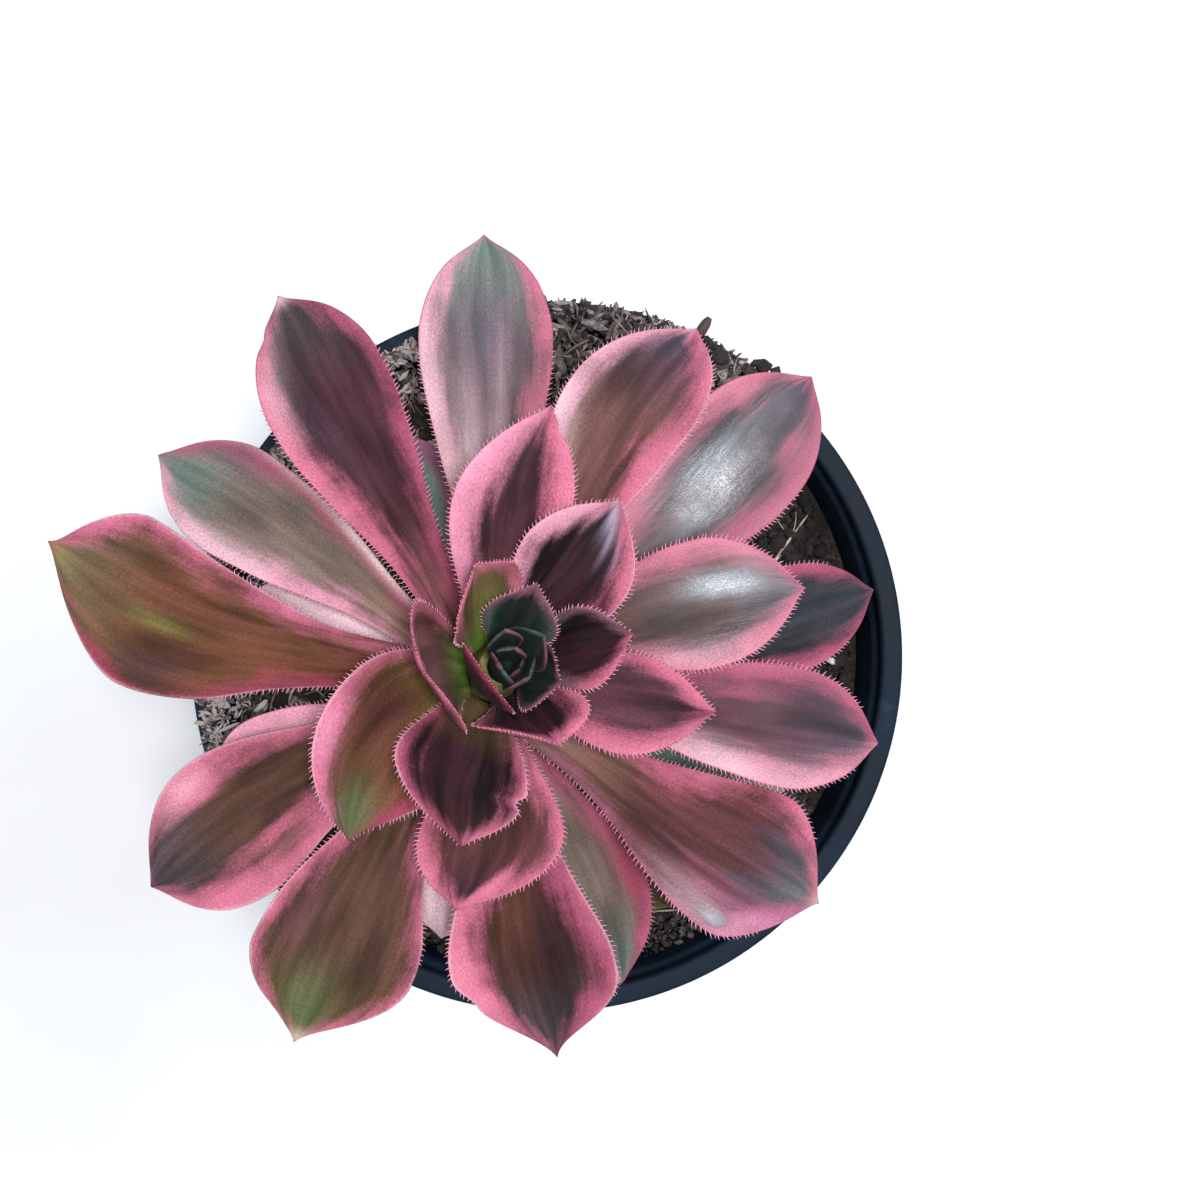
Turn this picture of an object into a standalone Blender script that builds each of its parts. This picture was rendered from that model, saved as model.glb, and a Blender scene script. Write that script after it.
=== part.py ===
"""Potted succulent: a leaning rosette of fleshy, spoon-shaped leaves in a round nursery pot.

Metres, +Z up. The origin is the middle of the pot's underside, which stands on z = 0.
Sizes below are in millimetres and degrees, and mm() turns them into metres.
"""

import math
import random

import bmesh
import bpy
from mathutils import Matrix, Vector, noise

# Driving dimensions of the pot, in millimetres
POT_HEIGHT = 105.0
RIM_RADIUS = 65.0
RIM_DEPTH = 11.0
RIM_INNER_RADIUS = 61.0
WALL = 1.5
FLOOR_RADIUS = 45.0
FLOOR_TOP = 2.7
STEP_TOP = 102.0
STEP_RADIUS = 59.7
FOOT_RECESS = 1.2
FOOT_RING_WIDTH = 2.6
FOOT_DISC_RADIUS = 13.5
DRAIN_HOLES = 8
DRAIN_RADIUS = 4.0
DRAIN_CIRCLE = 30.0
POT_SEGMENTS = 48

# Driving dimensions of the potting mix
MIX_LEVEL = 98.3
MIX_TILT = 4.4
MIX_TILT_TOWARDS = 138.0
MIX_LOWEST = 91.9
MIX_HIGHEST = 103.5
MOUND_HEIGHT = 4.6
MOUND_AZIMUTH = 72.0
MOUND_RADIUS = 56.0
MOUND_SPREAD = 17.0
MIX_RINGS = 11
BED_CHIPS = 64
BED_CHIP_REACH = 54.0
MOUND_CHIP_AZIMUTHS = (51.0, 92.0)
RIM_CHIPS = 11
RIM_CHIP_DEPTH = 2.6
RIM_CHIP_REACH = 59.4
HEAPED_CHIPS = 8
CORE_REACH = 56.4
CORE_CRUMB = (5.0, 4.6, 9.6)
CHIP_SEED = 41

# Driving dimensions of the stem, and the frame of the plant that leans in the pot
GAP = 0.3
STEM_FOOT = (-16.0, -6.5, 95.0)
LEAN = 15.0
LEAN_TOWARDS = 31.0
STEM_BURIED = 18.0
HOLE_TOP = 12
STEM_TOP = 44.0
STEM_SEGMENTS = 16
STEM_PROFILE = ((-18.0, 5.2), (10.0, 5.5), (30.0, 5.2), (44.0, 3.8))

# Leaf blades: edge thickness, cup across the blade, and how thick the flesh is at the base
BLADE_EDGE = 0.6
BLADE_CUP = 22.0
BLADE_FLESH = 2.4
BLADE_ROWS = (0.0, 0.10, 0.22, 0.35, 0.48, 0.60, 0.71, 0.81, 0.90, 0.96)
SMALL_ROWS = (0.0, 0.16, 0.34, 0.52, 0.68, 0.82, 0.93)

# Habit: foot width over full width, place of the widest section, then how the sides rise and close
BROAD = (0.32, 0.74, 3.2, 2.2, 0.85)
SPOON = (0.31, 0.78, 4.5, 1.7, 1.05)
ROUND = (0.42, 0.56, 1.3, 1.95, 1.0)
MIDDLE = (0.36, 0.68, 2.4, 2.0, 0.95)
YOUNG = (0.42, 0.60, 2.0, 1.9, 1.0)
HEART = (0.50, 0.48, 1.2, 1.7, 1.0)

# Each leaf from the lowest up: height on the stem, azimuth, turn along the leaf, length, width,
# rise at the base, rise at the tip, sideways hook of the tip, roll, habit. Millimetres and degrees.
LEAVES = (
    (10.4, 312, 0, 49, 18.0, 8, -2, 0.0, 0, BROAD),
    (11.4, 50, 0, 47, 15.0, 21, 8, 0.0, 0, BROAD),
    (12.4, 263, 0, 40, 15.0, 2, -10, 0.0, 0, BROAD),
    (13.4, 341, 0, 55, 18.0, 9, 0, 0.0, 0, BROAD),
    (14.4, 156, 0, 36, 16.0, 4, -8, 0.0, 0, BROAD),
    (15.4, 107, 0, 42, 15.0, 6, -6, 0.0, 0, BROAD),
    (16.3, 199, 0, 43, 14.0, 6, -8, 0.0, 0, BROAD),
    (17.0, 303, -5, 54, 17.0, 10, -10, -0.63, 0, BROAD),
    (18.0, 8, 6, 68, 19.5, 18, 4, 0.25, 0, BROAD),
    (18.8, 209, 3, 60, 26.0, 14, -5, 0.14, 0, BROAD),
    (19.6, 144, 4, 62, 20.0, 16, -6, 0.0, 0, BROAD),
    (21.2, 89, 6, 73, 24.0, 20, -2, -0.14, 0, BROAD),
    (21.6, 235, 18, 63, 28.0, 17, -5, -0.13, 0, SPOON),
    (23.4, 175, -9, 71, 27.5, 21, -2, -0.66, 0, SPOON),
    (24.2, 320, 5, 65, 27.5, 23, -4, 0.24, 0, SPOON),
    (25.0, 37, 13, 72, 24.0, 24, 11, 0.0, 0, BROAD),
    (26.0, 122, 4, 68, 22.5, 28, 0, -0.34, 0, BROAD),
    (27.0, 278, -8, 59, 28.5, 20, -5, 0.39, 0, SPOON),
    (28.0, 348, 2, 63, 21.0, 30, 2, 0.0, 0, BROAD),
    (29.0, 65.5, 1, 64, 22.5, 34, 4, -0.59, 0, BROAD),
    (29.8, 270, -7, 36, 24.0, 36, -11, -0.40, 0, MIDDLE),
    (31.5, 198, 63, 38, 25.0, 47, -10, 0.10, -16, ROUND),
    (31.8, 22, -16, 51, 22.0, 38, 8, 0.0, 0, MIDDLE),
    (33.3, 90, -7, 43, 20.5, 44, 12, -0.45, 0, YOUNG),
    (34.0, 247, 5, 27, 23.0, 46, -4, 0.35, 0, YOUNG),
    (35.0, 339, 18, 35, 17.0, 46, 16, 0.0, 0, YOUNG),
    (36.1, 54, 4, 32.5, 20.0, 47, 15, 0.0, 0, YOUNG),
    (37.0, 178, 36, 23, 22.5, 46, 82, 0.0, 0, YOUNG),
    (38.0, 303, -35, 14, 20.0, 50, 46, 0.35, 0, YOUNG),
    (39.0, 111, 0, 20, 17.0, 56, 50, 0.0, 30, YOUNG),
    (39.6, 13, 0, 22, 14.0, 56, 34, 0.0, 0, YOUNG),
    (42.2, 72, 0, 14.5, 13.0, 60, 40, 0.0, 0, HEART),
    (42.2, 216, 0, 13, 14.0, 76, 98, 0.0, 0, YOUNG),
    (43.0, 340, 0, 9.2, 12.0, 62, 54, 0.0, 0, HEART),
)
SMALL_LEAF_LENGTH = 45.0

# Bud: its core, then each leaf of it: height, azimuth, length, width, rise at the base, rise at the tip
BUD_BASE = STEM_TOP + GAP
BUD_CORE_RADIUS = 2.7
BUD_CORE_HEIGHT = 6.0
BUD_SEGMENTS = 12
BUD_LEAVES = (
    (44.9, 39.5, 10.7, 9.0, 60, 62),
    (45.2, 105, 11.0, 6.5, 66, 76),
    (45.7, 318, 8.8, 8.0, 68, 84),
    (46.2, 215, 8.0, 7.0, 76, 96),
    (46.8, 80, 7.5, 5.4, 76, 94),
    (47.2, 320, 6.0, 4.6, 80, 98),
)
BUD_FOOT_SUNK = 1.2


def mm(*values):
    """Millimetres to metres: one number, or a vector of three."""
    return values[0] * 0.001 if len(values) == 1 else Vector(values) * 0.001


def clear_scene():
    for obj in list(bpy.data.objects):
        bpy.data.objects.remove(obj, do_unlink=True)


def material(name, colour, roughness):
    made = bpy.data.materials.new(name)
    made.use_nodes = True
    shader = made.node_tree.nodes["Principled BSDF"]
    shader.inputs["Base Color"].default_value = (*colour, 1.0)
    shader.inputs["Roughness"].default_value = roughness
    shader.inputs["Metallic"].default_value = 0.0
    return made


def object_from(name, points, faces, finish):
    """A smooth-shaded object from points in millimetres, with its faces turned outwards."""
    mesh = bpy.data.meshes.new(name)
    mesh.from_pydata([mm(*point) for point in points], [], faces)
    shaped = bmesh.new()
    shaped.from_mesh(mesh)
    bmesh.ops.recalc_face_normals(shaped, faces=shaped.faces)
    bmesh.ops.triangulate(shaped, faces=shaped.faces)
    shaped.to_mesh(mesh)
    shaped.free()
    mesh.shade_smooth()
    mesh.set_sharp_from_angle(angle=math.radians(40))
    obj = bpy.data.objects.new(name, mesh)
    bpy.context.scene.collection.objects.link(obj)
    if finish:
        mesh.materials.append(finish)
    return obj


def turned(name, profile, segments, finish):
    """A solid turned about Z from a closed outline of (radius, height), which may start and end on the axis."""
    points = []
    rows = []
    for radius, height in profile:
        if radius == 0:
            rows.append([len(points)] * segments)
            points.append((0.0, 0.0, height))
            continue
        rows.append(list(range(len(points), len(points) + segments)))
        for step in range(segments):
            angle = math.tau * step / segments
            points.append((radius * math.cos(angle), radius * math.sin(angle), height))
    faces = []
    pairs = list(zip(rows, rows[1:]))
    if profile[0][0] and profile[-1][0]:
        pairs.append((rows[-1], rows[0]))
    for low, high in pairs:
        for step in range(segments):
            after = (step + 1) % segments
            corners = [low[step], low[after], high[after], high[step]]
            corners = list(dict.fromkeys(corners))
            if len(corners) > 2:
                faces.append(corners)
    return object_from(name, points, faces, finish)


def apply_boolean(obj, others, operation):
    """Joins or cuts the others, which are then removed."""
    group = bpy.data.collections.new("boolean_group")
    for other in others:
        group.objects.link(other)
    step = obj.modifiers.new("boolean", "BOOLEAN")
    step.operand_type = "COLLECTION"
    step.collection = group
    step.operation = operation
    step.solver = "EXACT"
    bpy.context.view_layer.update()
    shape = obj.evaluated_get(bpy.context.evaluated_depsgraph_get())
    result = bpy.data.meshes.new_from_object(shape)
    obj.modifiers.clear()
    obj.data = result
    for other in others:
        bpy.data.objects.remove(other, do_unlink=True)
    bpy.data.collections.remove(group)


# The pot

def inner_radius(height):
    """Radius of the pot's inside, which widens steadily from the floor to the step under the rim."""
    share = (height - FLOOR_TOP) / (STEP_TOP - FLOOR_TOP)
    return FLOOR_RADIUS + share * (STEP_RADIUS - FLOOR_RADIUS)


def pot_profile():
    """Outline of the wall from the middle of the underside, round the rim, to the middle of the floor."""
    rim_low = POT_HEIGHT - RIM_DEPTH
    base_radius = inner_radius(0.0) + WALL
    return (
        (0.0, 0.0),
        (FOOT_DISC_RADIUS, 0.0),
        (FOOT_DISC_RADIUS + 0.8, FOOT_RECESS),
        (base_radius - FOOT_RING_WIDTH - 0.8, FOOT_RECESS),
        (base_radius - FOOT_RING_WIDTH, 0.0),
        (base_radius - 0.5, 0.0),
        (base_radius, 0.6),
        (inner_radius(rim_low) + WALL, rim_low),
        (RIM_RADIUS - 1.4, rim_low),
        (RIM_RADIUS - 0.9, rim_low + 0.6),
        (RIM_RADIUS, POT_HEIGHT - 1.4),
        (RIM_RADIUS - 0.4, POT_HEIGHT - 0.4),
        (RIM_RADIUS - 1.3, POT_HEIGHT),
        (RIM_INNER_RADIUS + 0.7, POT_HEIGHT),
        (RIM_INNER_RADIUS, POT_HEIGHT - 0.7),
        (RIM_INNER_RADIUS - 0.2, STEP_TOP + 0.7),
        (STEP_RADIUS, STEP_TOP),
        (FLOOR_RADIUS, FLOOR_TOP),
        (0.0, FLOOR_TOP),
    )


def make_pot():
    plastic = material("slate blue nursery pot plastic", (0.030, 0.042, 0.062), 0.5)
    pot = turned("pot", pot_profile(), POT_SEGMENTS, plastic)
    cutters = []
    for step in range(DRAIN_HOLES):
        angle = math.tau * (step + 0.5) / DRAIN_HOLES
        outline = ((0.0, -1.0), (DRAIN_RADIUS, -1.0), (DRAIN_RADIUS, FLOOR_TOP + 1.0), (0.0, FLOOR_TOP + 1.0))
        cutter = turned("drain_cutter", outline, 16, None)
        cutter.location = mm(DRAIN_CIRCLE * math.cos(angle), DRAIN_CIRCLE * math.sin(angle), 0.0)
        cutters.append(cutter)
    apply_boolean(pot, cutters, "DIFFERENCE")


# The plant's own frame: its origin is where the stem leaves the mix, and its Z runs up the stem

def plant_matrix():
    axis = Vector((-math.sin(math.radians(LEAN_TOWARDS)), math.cos(math.radians(LEAN_TOWARDS)), 0.0))
    return Matrix.Translation(STEM_FOOT) @ Matrix.Rotation(math.radians(LEAN), 4, axis)


def set_in_plant(obj):
    """Moves an object made upright at the origin, in metres, into the leaning plant's frame."""
    millimetres = Matrix.Scale(1000.0, 4)
    obj.data.transform(millimetres.inverted() @ plant_matrix() @ millimetres)


def stem_radius(height):
    """Radius of the stem at a height along it."""
    for (low, thick), (high, thin) in zip(STEM_PROFILE, STEM_PROFILE[1:]):
        if height <= high:
            share = max(0.0, (height - low) / (high - low))
            return thick + share * (thin - thick)
    return STEM_PROFILE[-1][1]


def clear_of_stem(point):
    """Moves a point of the plant out to the stem's skin, plus the gap, so that a leaf base clasps the stem."""
    reach = math.hypot(point.x, point.y)
    least = stem_radius(point.z) + GAP
    if reach >= least or point.z > STEM_TOP:
        return point
    return Vector((point.x * least / reach, point.y * least / reach, point.z))


# The stem

def make_stem():
    bark = material("green and tan stem skin", (0.30, 0.34, 0.12), 0.6)
    outline = [(0.0, -STEM_BURIED), (stem_radius(-STEM_BURIED), -STEM_BURIED)]
    outline += [(stem_radius(height), float(height)) for height in range(-12, int(STEM_TOP), 6)]
    outline += [(stem_radius(STEM_TOP), STEM_TOP), (0.0, STEM_TOP)]
    stem = turned("stem", outline, STEM_SEGMENTS, bark)
    set_in_plant(stem)


# The leaves

def blade_width(t, width, habit):
    """Half the width at a share t of the length: a narrow foot, a broad spoon and a short pointed tip."""
    foot, widest, rise, close, point = habit
    if t < widest:
        return width / 2 * (foot + (1 - foot) * math.sin(math.pi / 2 * t / widest) ** rise)
    beyond = min(1.0, (t - widest) / (1 - widest))
    return width / 2 * (1 - beyond ** close) ** point


def midrib(height, azimuth, turn, length, rise_foot, rise_tip, start, shares):
    """Points, directions and sideways directions along the midrib, at the given shares of the length."""
    steps = 60
    around = math.radians(azimuth)
    at = Vector((start * math.cos(around), start * math.sin(around), height))
    places = [at.copy()]
    headings = []
    for step in range(steps + 1):
        share = step / steps
        pitch = math.radians(rise_foot + (rise_tip - rise_foot) * share)
        angle = around + math.radians(turn) * share
        ahead = Vector((math.cos(pitch) * math.cos(angle), math.cos(pitch) * math.sin(angle), math.sin(pitch)))
        headings.append((ahead, Vector((-math.sin(angle), math.cos(angle), 0.0))))
        at = at + ahead * (length / steps)
        places.append(at.copy())
    rows = []
    for share in shares:
        step = round(share * steps)
        rows.append((places[step], *headings[step]))
    return rows


def blade(leaf, start, shares, columns, flesh):
    """Points and faces of one closed leaf blade, in the plant's frame, with both faces split alike."""
    height, azimuth, turn, length, width, rise_foot, rise_tip, hook, roll, habit = leaf
    rows = midrib(height, azimuth, turn, length, rise_foot, rise_tip, start, (*shares, 1.0))
    cup = math.radians(BLADE_CUP)
    sides = []
    for face in (1, -1):
        for share, (place, ahead, across) in zip((*shares, 1.0), rows):
            late = max(0.0, (share - 0.5) / 0.5)
            place = place + across * (hook * width / 2 * late * late)
            up = ahead.cross(across)
            twist = math.radians(roll) * min(1.0, share * 1.6)
            over = across * math.cos(twist) + up * math.sin(twist)
            up = up * math.cos(twist) - across * math.sin(twist)
            half = blade_width(share, width, habit)
            middle = max(0.0, flesh * (1.1 - 0.6 * share**1.5) - BLADE_EDGE) * min(1.0, half / (0.12 * width))
            for column in [columns // 2] if share == 1.0 else range(columns + 1):
                u = 2 * column / columns - 1
                thick = BLADE_EDGE + middle * (1 - u * u)
                aside = over * (half * math.sin(cup * u) / cup)
                lift = up * (half * (1 - math.cos(cup * u)) / cup + face * thick / 2)
                sides.append(clear_of_stem(place + aside + lift))
    return sides, blade_faces(len(shares), columns)


def blade_faces(count, columns):
    """Triangles of a blade with count full rows and a tip, upper points first and lower points after."""
    span = columns + 1
    lower = count * span + 1
    faces = []

    def both(a, b, c):
        faces.append((a, b, c))
        faces.append((lower + c, lower + b, lower + a))

    for row in range(count - 1):
        for column in range(columns):
            a = row * span + column
            b = a + span
            if column < columns // 2:
                both(a, b, b + 1)
                both(a, b + 1, a + 1)
            else:
                both(a, b, a + 1)
                both(b, b + 1, a + 1)
    last = (count - 1) * span
    tip = count * span
    for column in range(columns):
        both(last + column, tip, last + column + 1)
    rim = [row * span for row in range(count)] + [tip]
    rim += [row * span + columns for row in reversed(range(count))]
    rim += [column for column in range(columns - 1, 0, -1)]
    for here, after in zip(rim, rim[1:] + rim[:1]):
        faces.append((here, lower + here, lower + after))
        faces.append((here, lower + after, after))
    return faces


def make_leaves():
    frame = plant_matrix()
    for number, leaf in enumerate(LEAVES, 1):
        small = leaf[3] < SMALL_LEAF_LENGTH and leaf[9] is BROAD or leaf[4] < 16.0
        shares, columns = (SMALL_ROWS, 4) if small else (BLADE_ROWS, 6)
        flesh = BLADE_FLESH * min(1.0, 0.55 + leaf[3] / 100)
        points, faces = blade(leaf, stem_radius(leaf[0]) + GAP, shares, columns, flesh)
        redness = 0.42 - 0.2 * number / len(LEAVES)
        skin = material(f"rose edged leaf skin {number:02d}", (redness, 0.12, 0.14), 0.45)
        object_from(f"leaf_{number:02d}", [frame @ point for point in points], faces, skin)


# The bud

def make_bud():
    frame = plant_matrix()
    green = material("dark blue green bud", (0.06, 0.12, 0.09), 0.5)
    top = BUD_BASE + BUD_CORE_HEIGHT
    outline = (
        (0.0, BUD_BASE),
        (BUD_CORE_RADIUS * 0.9, BUD_BASE),
        (BUD_CORE_RADIUS, BUD_BASE + 1.2),
        (BUD_CORE_RADIUS * 0.75, BUD_BASE + 0.6 * BUD_CORE_HEIGHT),
        (BUD_CORE_RADIUS * 0.3, top - 0.4),
        (0.0, top),
    )
    core = turned("bud", outline, BUD_SEGMENTS, green)
    set_in_plant(core)
    leaves = []
    for height, azimuth, length, width, rise_foot, rise_tip in BUD_LEAVES:
        leaf = (height, azimuth, 0, length, width, rise_foot, rise_tip, 0.0, 0, YOUNG)
        start = BUD_CORE_RADIUS - BUD_FOOT_SUNK
        points, faces = blade(leaf, start, SMALL_ROWS, 4, 1.5)
        leaves.append(object_from("bud_leaf", [frame @ point for point in points], faces, None))
    apply_boolean(core, leaves, "UNION")


# The potting mix

def mix_height(x, y):
    """Height of the mix's top at a place: a tilted bed with a mound and soft lumps, kept clear of the rim."""
    towards = math.radians(MIX_TILT_TOWARDS)
    tilt = MIX_TILT * (x * math.cos(towards) + y * math.sin(towards)) / STEP_RADIUS
    around = math.radians(MOUND_AZIMUTH)
    away = math.hypot(x - MOUND_RADIUS * math.cos(around), y - MOUND_RADIUS * math.sin(around))
    mound = MOUND_HEIGHT * math.exp(-((away / MOUND_SPREAD) ** 2))
    lumps = 0.9 * noise.noise(Vector((x, y, 3.0)) / 9.0) + 0.5 * noise.noise(Vector((x, y, 7.0)) / 4.0)
    return min(MIX_LEVEL + tilt + mound + lumps, MIX_HIGHEST)


def mix_bed():
    """The bed of the mix, which fills the pot from its floor, less the gap."""
    floor = FLOOR_TOP + GAP
    points = [(0.0, 0.0, mix_height(0.0, 0.0))]
    for ring in range(1, MIX_RINGS + 1):
        for step in range(POT_SEGMENTS):
            angle = math.tau * step / POT_SEGMENTS
            reach = (inner_radius(MIX_LOWEST) - GAP) * ring / MIX_RINGS
            x, y = reach * math.cos(angle), reach * math.sin(angle)
            points.append((x, y, mix_height(x, y)))
    for step in range(POT_SEGMENTS):
        angle = math.tau * step / POT_SEGMENTS
        reach = inner_radius(floor) - GAP
        points.append((reach * math.cos(angle), reach * math.sin(angle), floor))
    points.append((0.0, 0.0, floor))
    faces = []
    for step in range(POT_SEGMENTS):
        after = (step + 1) % POT_SEGMENTS
        faces.append((0, 1 + step, 1 + after))
        for ring in range(MIX_RINGS):
            low = 1 + ring * POT_SEGMENTS
            high = low + POT_SEGMENTS
            faces.append((low + step, high + step, high + after, low + after))
        last = 1 + MIX_RINGS * POT_SEGMENTS
        faces.append((last + step, len(points) - 1, last + after))
    return object_from("potting_mix", points, faces, material("dark bark potting mix", (0.035, 0.027, 0.024), 0.95))


def chip(place, size, turn, lean, draw, knocked=0.6):
    """A splintered bark chip: a box whose corners are knocked in, at most to the given share."""
    frame = Matrix.Translation(place) @ Matrix.Rotation(turn, 4, "Z") @ Matrix.Rotation(lean, 4, "X")
    points = []
    for z in (-0.5, 0.5):
        for x, y in ((-0.5, -0.5), (0.5, -0.5), (0.5, 0.5), (-0.5, 0.5)):
            along = x * size[0] * draw.uniform(knocked, 1.0)
            points.append(frame @ Vector((along, y * size[1] * draw.uniform(knocked, 1.0), z * size[2])))
    faces = ((0, 3, 2, 1), (4, 5, 6, 7), (0, 1, 5, 4), (1, 2, 6, 5), (2, 3, 7, 6), (3, 0, 4, 7))
    return object_from("chip", points, faces, None)


def bed_chips(draw):
    """Chips strewn evenly over the bed by the sunflower rule, sunk to about half their depth."""
    chips = []
    for number in range(BED_CHIPS):
        reach = BED_CHIP_REACH * math.sqrt((number + 0.5) / BED_CHIPS)
        angle = number * math.radians(137.5) + draw.uniform(-0.1, 0.1)
        x, y = reach * math.cos(angle), reach * math.sin(angle)
        size = (draw.uniform(4.0, 7.5), draw.uniform(2.6, 4.6), draw.uniform(2.0, 3.0))
        place = (x, y, mix_height(x, y) + draw.uniform(-0.5, 0.2))
        chips.append(chip(place, size, draw.uniform(0.0, math.tau), draw.uniform(-0.3, 0.3), draw))
    return chips


def rim_chips(draw):
    """Longer chips of the mound that lie out over the rim, a gap above it, and a looser layer heaped on them."""
    chips = []
    first, last = MOUND_CHIP_AZIMUTHS
    for number in range(RIM_CHIPS):
        angle = math.radians(first + (last - first) * number / (RIM_CHIPS - 1))
        size = (draw.uniform(11.5, 14.5), draw.uniform(3.4, 5.2), RIM_CHIP_DEPTH)
        reach = RIM_CHIP_REACH + draw.uniform(-0.8, 0.8)
        place = (reach * math.cos(angle), reach * math.sin(angle), POT_HEIGHT + GAP + 0.6 * RIM_CHIP_DEPTH)
        chips.append(chip(place, size, angle + draw.uniform(-0.5, 0.5), 0.0, draw, 0.8))
    for number in range(HEAPED_CHIPS):
        angle = math.radians(first + (last - first) * (number + 0.5) / HEAPED_CHIPS)
        size = (draw.uniform(6.0, 9.5), draw.uniform(3.0, 4.6), draw.uniform(2.4, 3.4))
        reach = RIM_CHIP_REACH - 2.0 + draw.uniform(-2.5, 2.5)
        place = (reach * math.cos(angle), reach * math.sin(angle), POT_HEIGHT + GAP + 1.3 * RIM_CHIP_DEPTH)
        chips.append(chip(place, size, draw.uniform(0.0, math.tau), draw.uniform(-0.3, 0.3), draw))
    return chips


def mound_core(draw):
    """A low hidden ridge of crumbs under the chips at the rim, which ties them to the bed."""
    crumbs = []
    first, last = MOUND_CHIP_AZIMUTHS
    for number in range(RIM_CHIPS):
        angle = math.radians(first + (last - first) * number / (RIM_CHIPS - 1))
        place = (CORE_REACH * math.cos(angle), CORE_REACH * math.sin(angle), POT_HEIGHT - 2.2)
        crumbs.append(chip(place, CORE_CRUMB, angle, 0.0, draw, 0.85))
    return crumbs


def make_mix():
    draw = random.Random(CHIP_SEED)
    mix = mix_bed()
    apply_boolean(mix, bed_chips(draw) + mound_core(draw) + rim_chips(draw), "UNION")
    hole = [(0.0, -STEM_BURIED - GAP), (stem_radius(-STEM_BURIED) + GAP, -STEM_BURIED - GAP)]
    hole += [(stem_radius(height) + GAP, float(height)) for height in range(-12, HOLE_TOP + 1, 6)]
    hole += [(0.0, float(HOLE_TOP))]
    cutter = turned("stem_hole_cutter", hole, STEM_SEGMENTS, None)
    set_in_plant(cutter)
    apply_boolean(mix, [cutter], "DIFFERENCE")


clear_scene()
make_pot()
make_mix()
make_stem()
make_leaves()
make_bud()
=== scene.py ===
import math
import random
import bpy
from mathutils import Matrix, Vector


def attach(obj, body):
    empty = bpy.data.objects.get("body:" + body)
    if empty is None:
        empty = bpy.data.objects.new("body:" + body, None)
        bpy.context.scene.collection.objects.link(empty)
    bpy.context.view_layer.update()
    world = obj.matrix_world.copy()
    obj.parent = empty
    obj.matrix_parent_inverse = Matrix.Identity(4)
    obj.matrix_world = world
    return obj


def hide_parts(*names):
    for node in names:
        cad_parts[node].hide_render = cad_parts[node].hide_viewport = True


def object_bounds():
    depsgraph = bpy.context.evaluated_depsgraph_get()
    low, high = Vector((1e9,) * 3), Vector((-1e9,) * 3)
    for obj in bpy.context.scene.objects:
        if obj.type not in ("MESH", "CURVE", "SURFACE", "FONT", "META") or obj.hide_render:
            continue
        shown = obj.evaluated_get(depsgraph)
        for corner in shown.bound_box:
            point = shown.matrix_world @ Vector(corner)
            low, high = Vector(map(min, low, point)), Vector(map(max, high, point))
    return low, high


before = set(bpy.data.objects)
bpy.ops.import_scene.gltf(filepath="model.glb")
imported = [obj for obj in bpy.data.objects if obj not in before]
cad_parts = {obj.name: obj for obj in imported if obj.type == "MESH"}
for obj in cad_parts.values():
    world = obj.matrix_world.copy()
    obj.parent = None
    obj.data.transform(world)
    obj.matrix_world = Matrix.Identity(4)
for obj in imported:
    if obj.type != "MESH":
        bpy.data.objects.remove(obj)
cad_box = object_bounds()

from types import SimpleNamespace

import bpy
import numpy as np
from mathutils import Matrix, Vector, noise

# The pot
# A round 13 cm nursery pot, moulded in one piece from black-blue polypropylene: a thin tapering wall,
# a deep rim band with a step inside it, and eight drain holes in a floor that stands on a low ring.
POT_HEIGHT = 105.0
RIM_RADIUS = 65.0
RIM_LOW = 94.0
RIM_TAPER = 0.9
RIM_INSIDE = 61.0
STEP_TOP = 102.0
STEP_RADIUS = 59.7
FLOOR_RADIUS = 45.0
FLOOR_TOP = 2.7
WALL = 1.5
BOSS_RADIUS = 13.5
RING_WIDTH = 2.6
RING_HEIGHT = 1.2
RING_SLOPE = 0.8
MOULD_ROUNDING = 0.9
DRAIN_HOLES = 8
DRAIN_RADIUS = 4.0
DRAIN_CIRCLE = 30.0
POT_SEGMENTS = 240
DUST_AND_SHEEN_PATCH = 11.11
ORANGE_PEEL = 0.714


def linear(code):
    """An sRGB hex colour as linear red, green, blue and alpha."""
    parts = [int(code[place:place + 2], 16) / 255 for place in (1, 3, 5)]
    return (*[part / 12.92 if part <= 0.04045 else ((part + 0.055) / 1.055) ** 2.4 for part in parts], 1.0)


def fill(node, inputs):
    """Sets a node's inputs by name or number, or links them from a socket or from a node's first output."""
    for key, value in inputs.items():
        if isinstance(value, bpy.types.Node):
            value = value.outputs[0]
        if isinstance(value, bpy.types.NodeSocket):
            node.id_data.links.new(value, node.inputs[key])
        else:
            node.inputs[key].default_value = value


def add_node(tree, kind, inputs=(), stops=(), **settings):
    """Adds a node, sets its properties and ramp stops, and fills its inputs."""
    node = tree.nodes.new(kind)
    for name, value in settings.items():
        setattr(node, name, value)
    fill(node, dict(inputs))
    for number, (place, code) in enumerate(stops):
        elements = node.color_ramp.elements
        stop = elements[number] if number < 2 else elements.new(place)
        stop.position = place
        stop.color = linear(code)
    return node


def new_finish(name):
    """A new material, with its node tree and its shader."""
    made = bpy.data.materials.new(name)
    made.use_nodes = True
    return made, made.node_tree, made.node_tree.nodes["Principled BSDF"]


def make_piece(name, points, faces, *finishes):
    """A smooth-shaded piece from points in millimetres."""
    mesh = bpy.data.meshes.new(name)
    mesh.from_pydata([tuple(point) for point in np.asarray(points, float) * 0.001], [], faces)
    mesh.shade_smooth()
    for finish in finishes:
        mesh.materials.append(finish)
    piece = bpy.data.objects.new(name, mesh)
    bpy.context.scene.collection.objects.link(piece)
    return piece


def turned(radius, angle):
    """A place from its distance and its direction from the middle."""
    return radius * math.cos(angle), radius * math.sin(angle)


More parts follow.
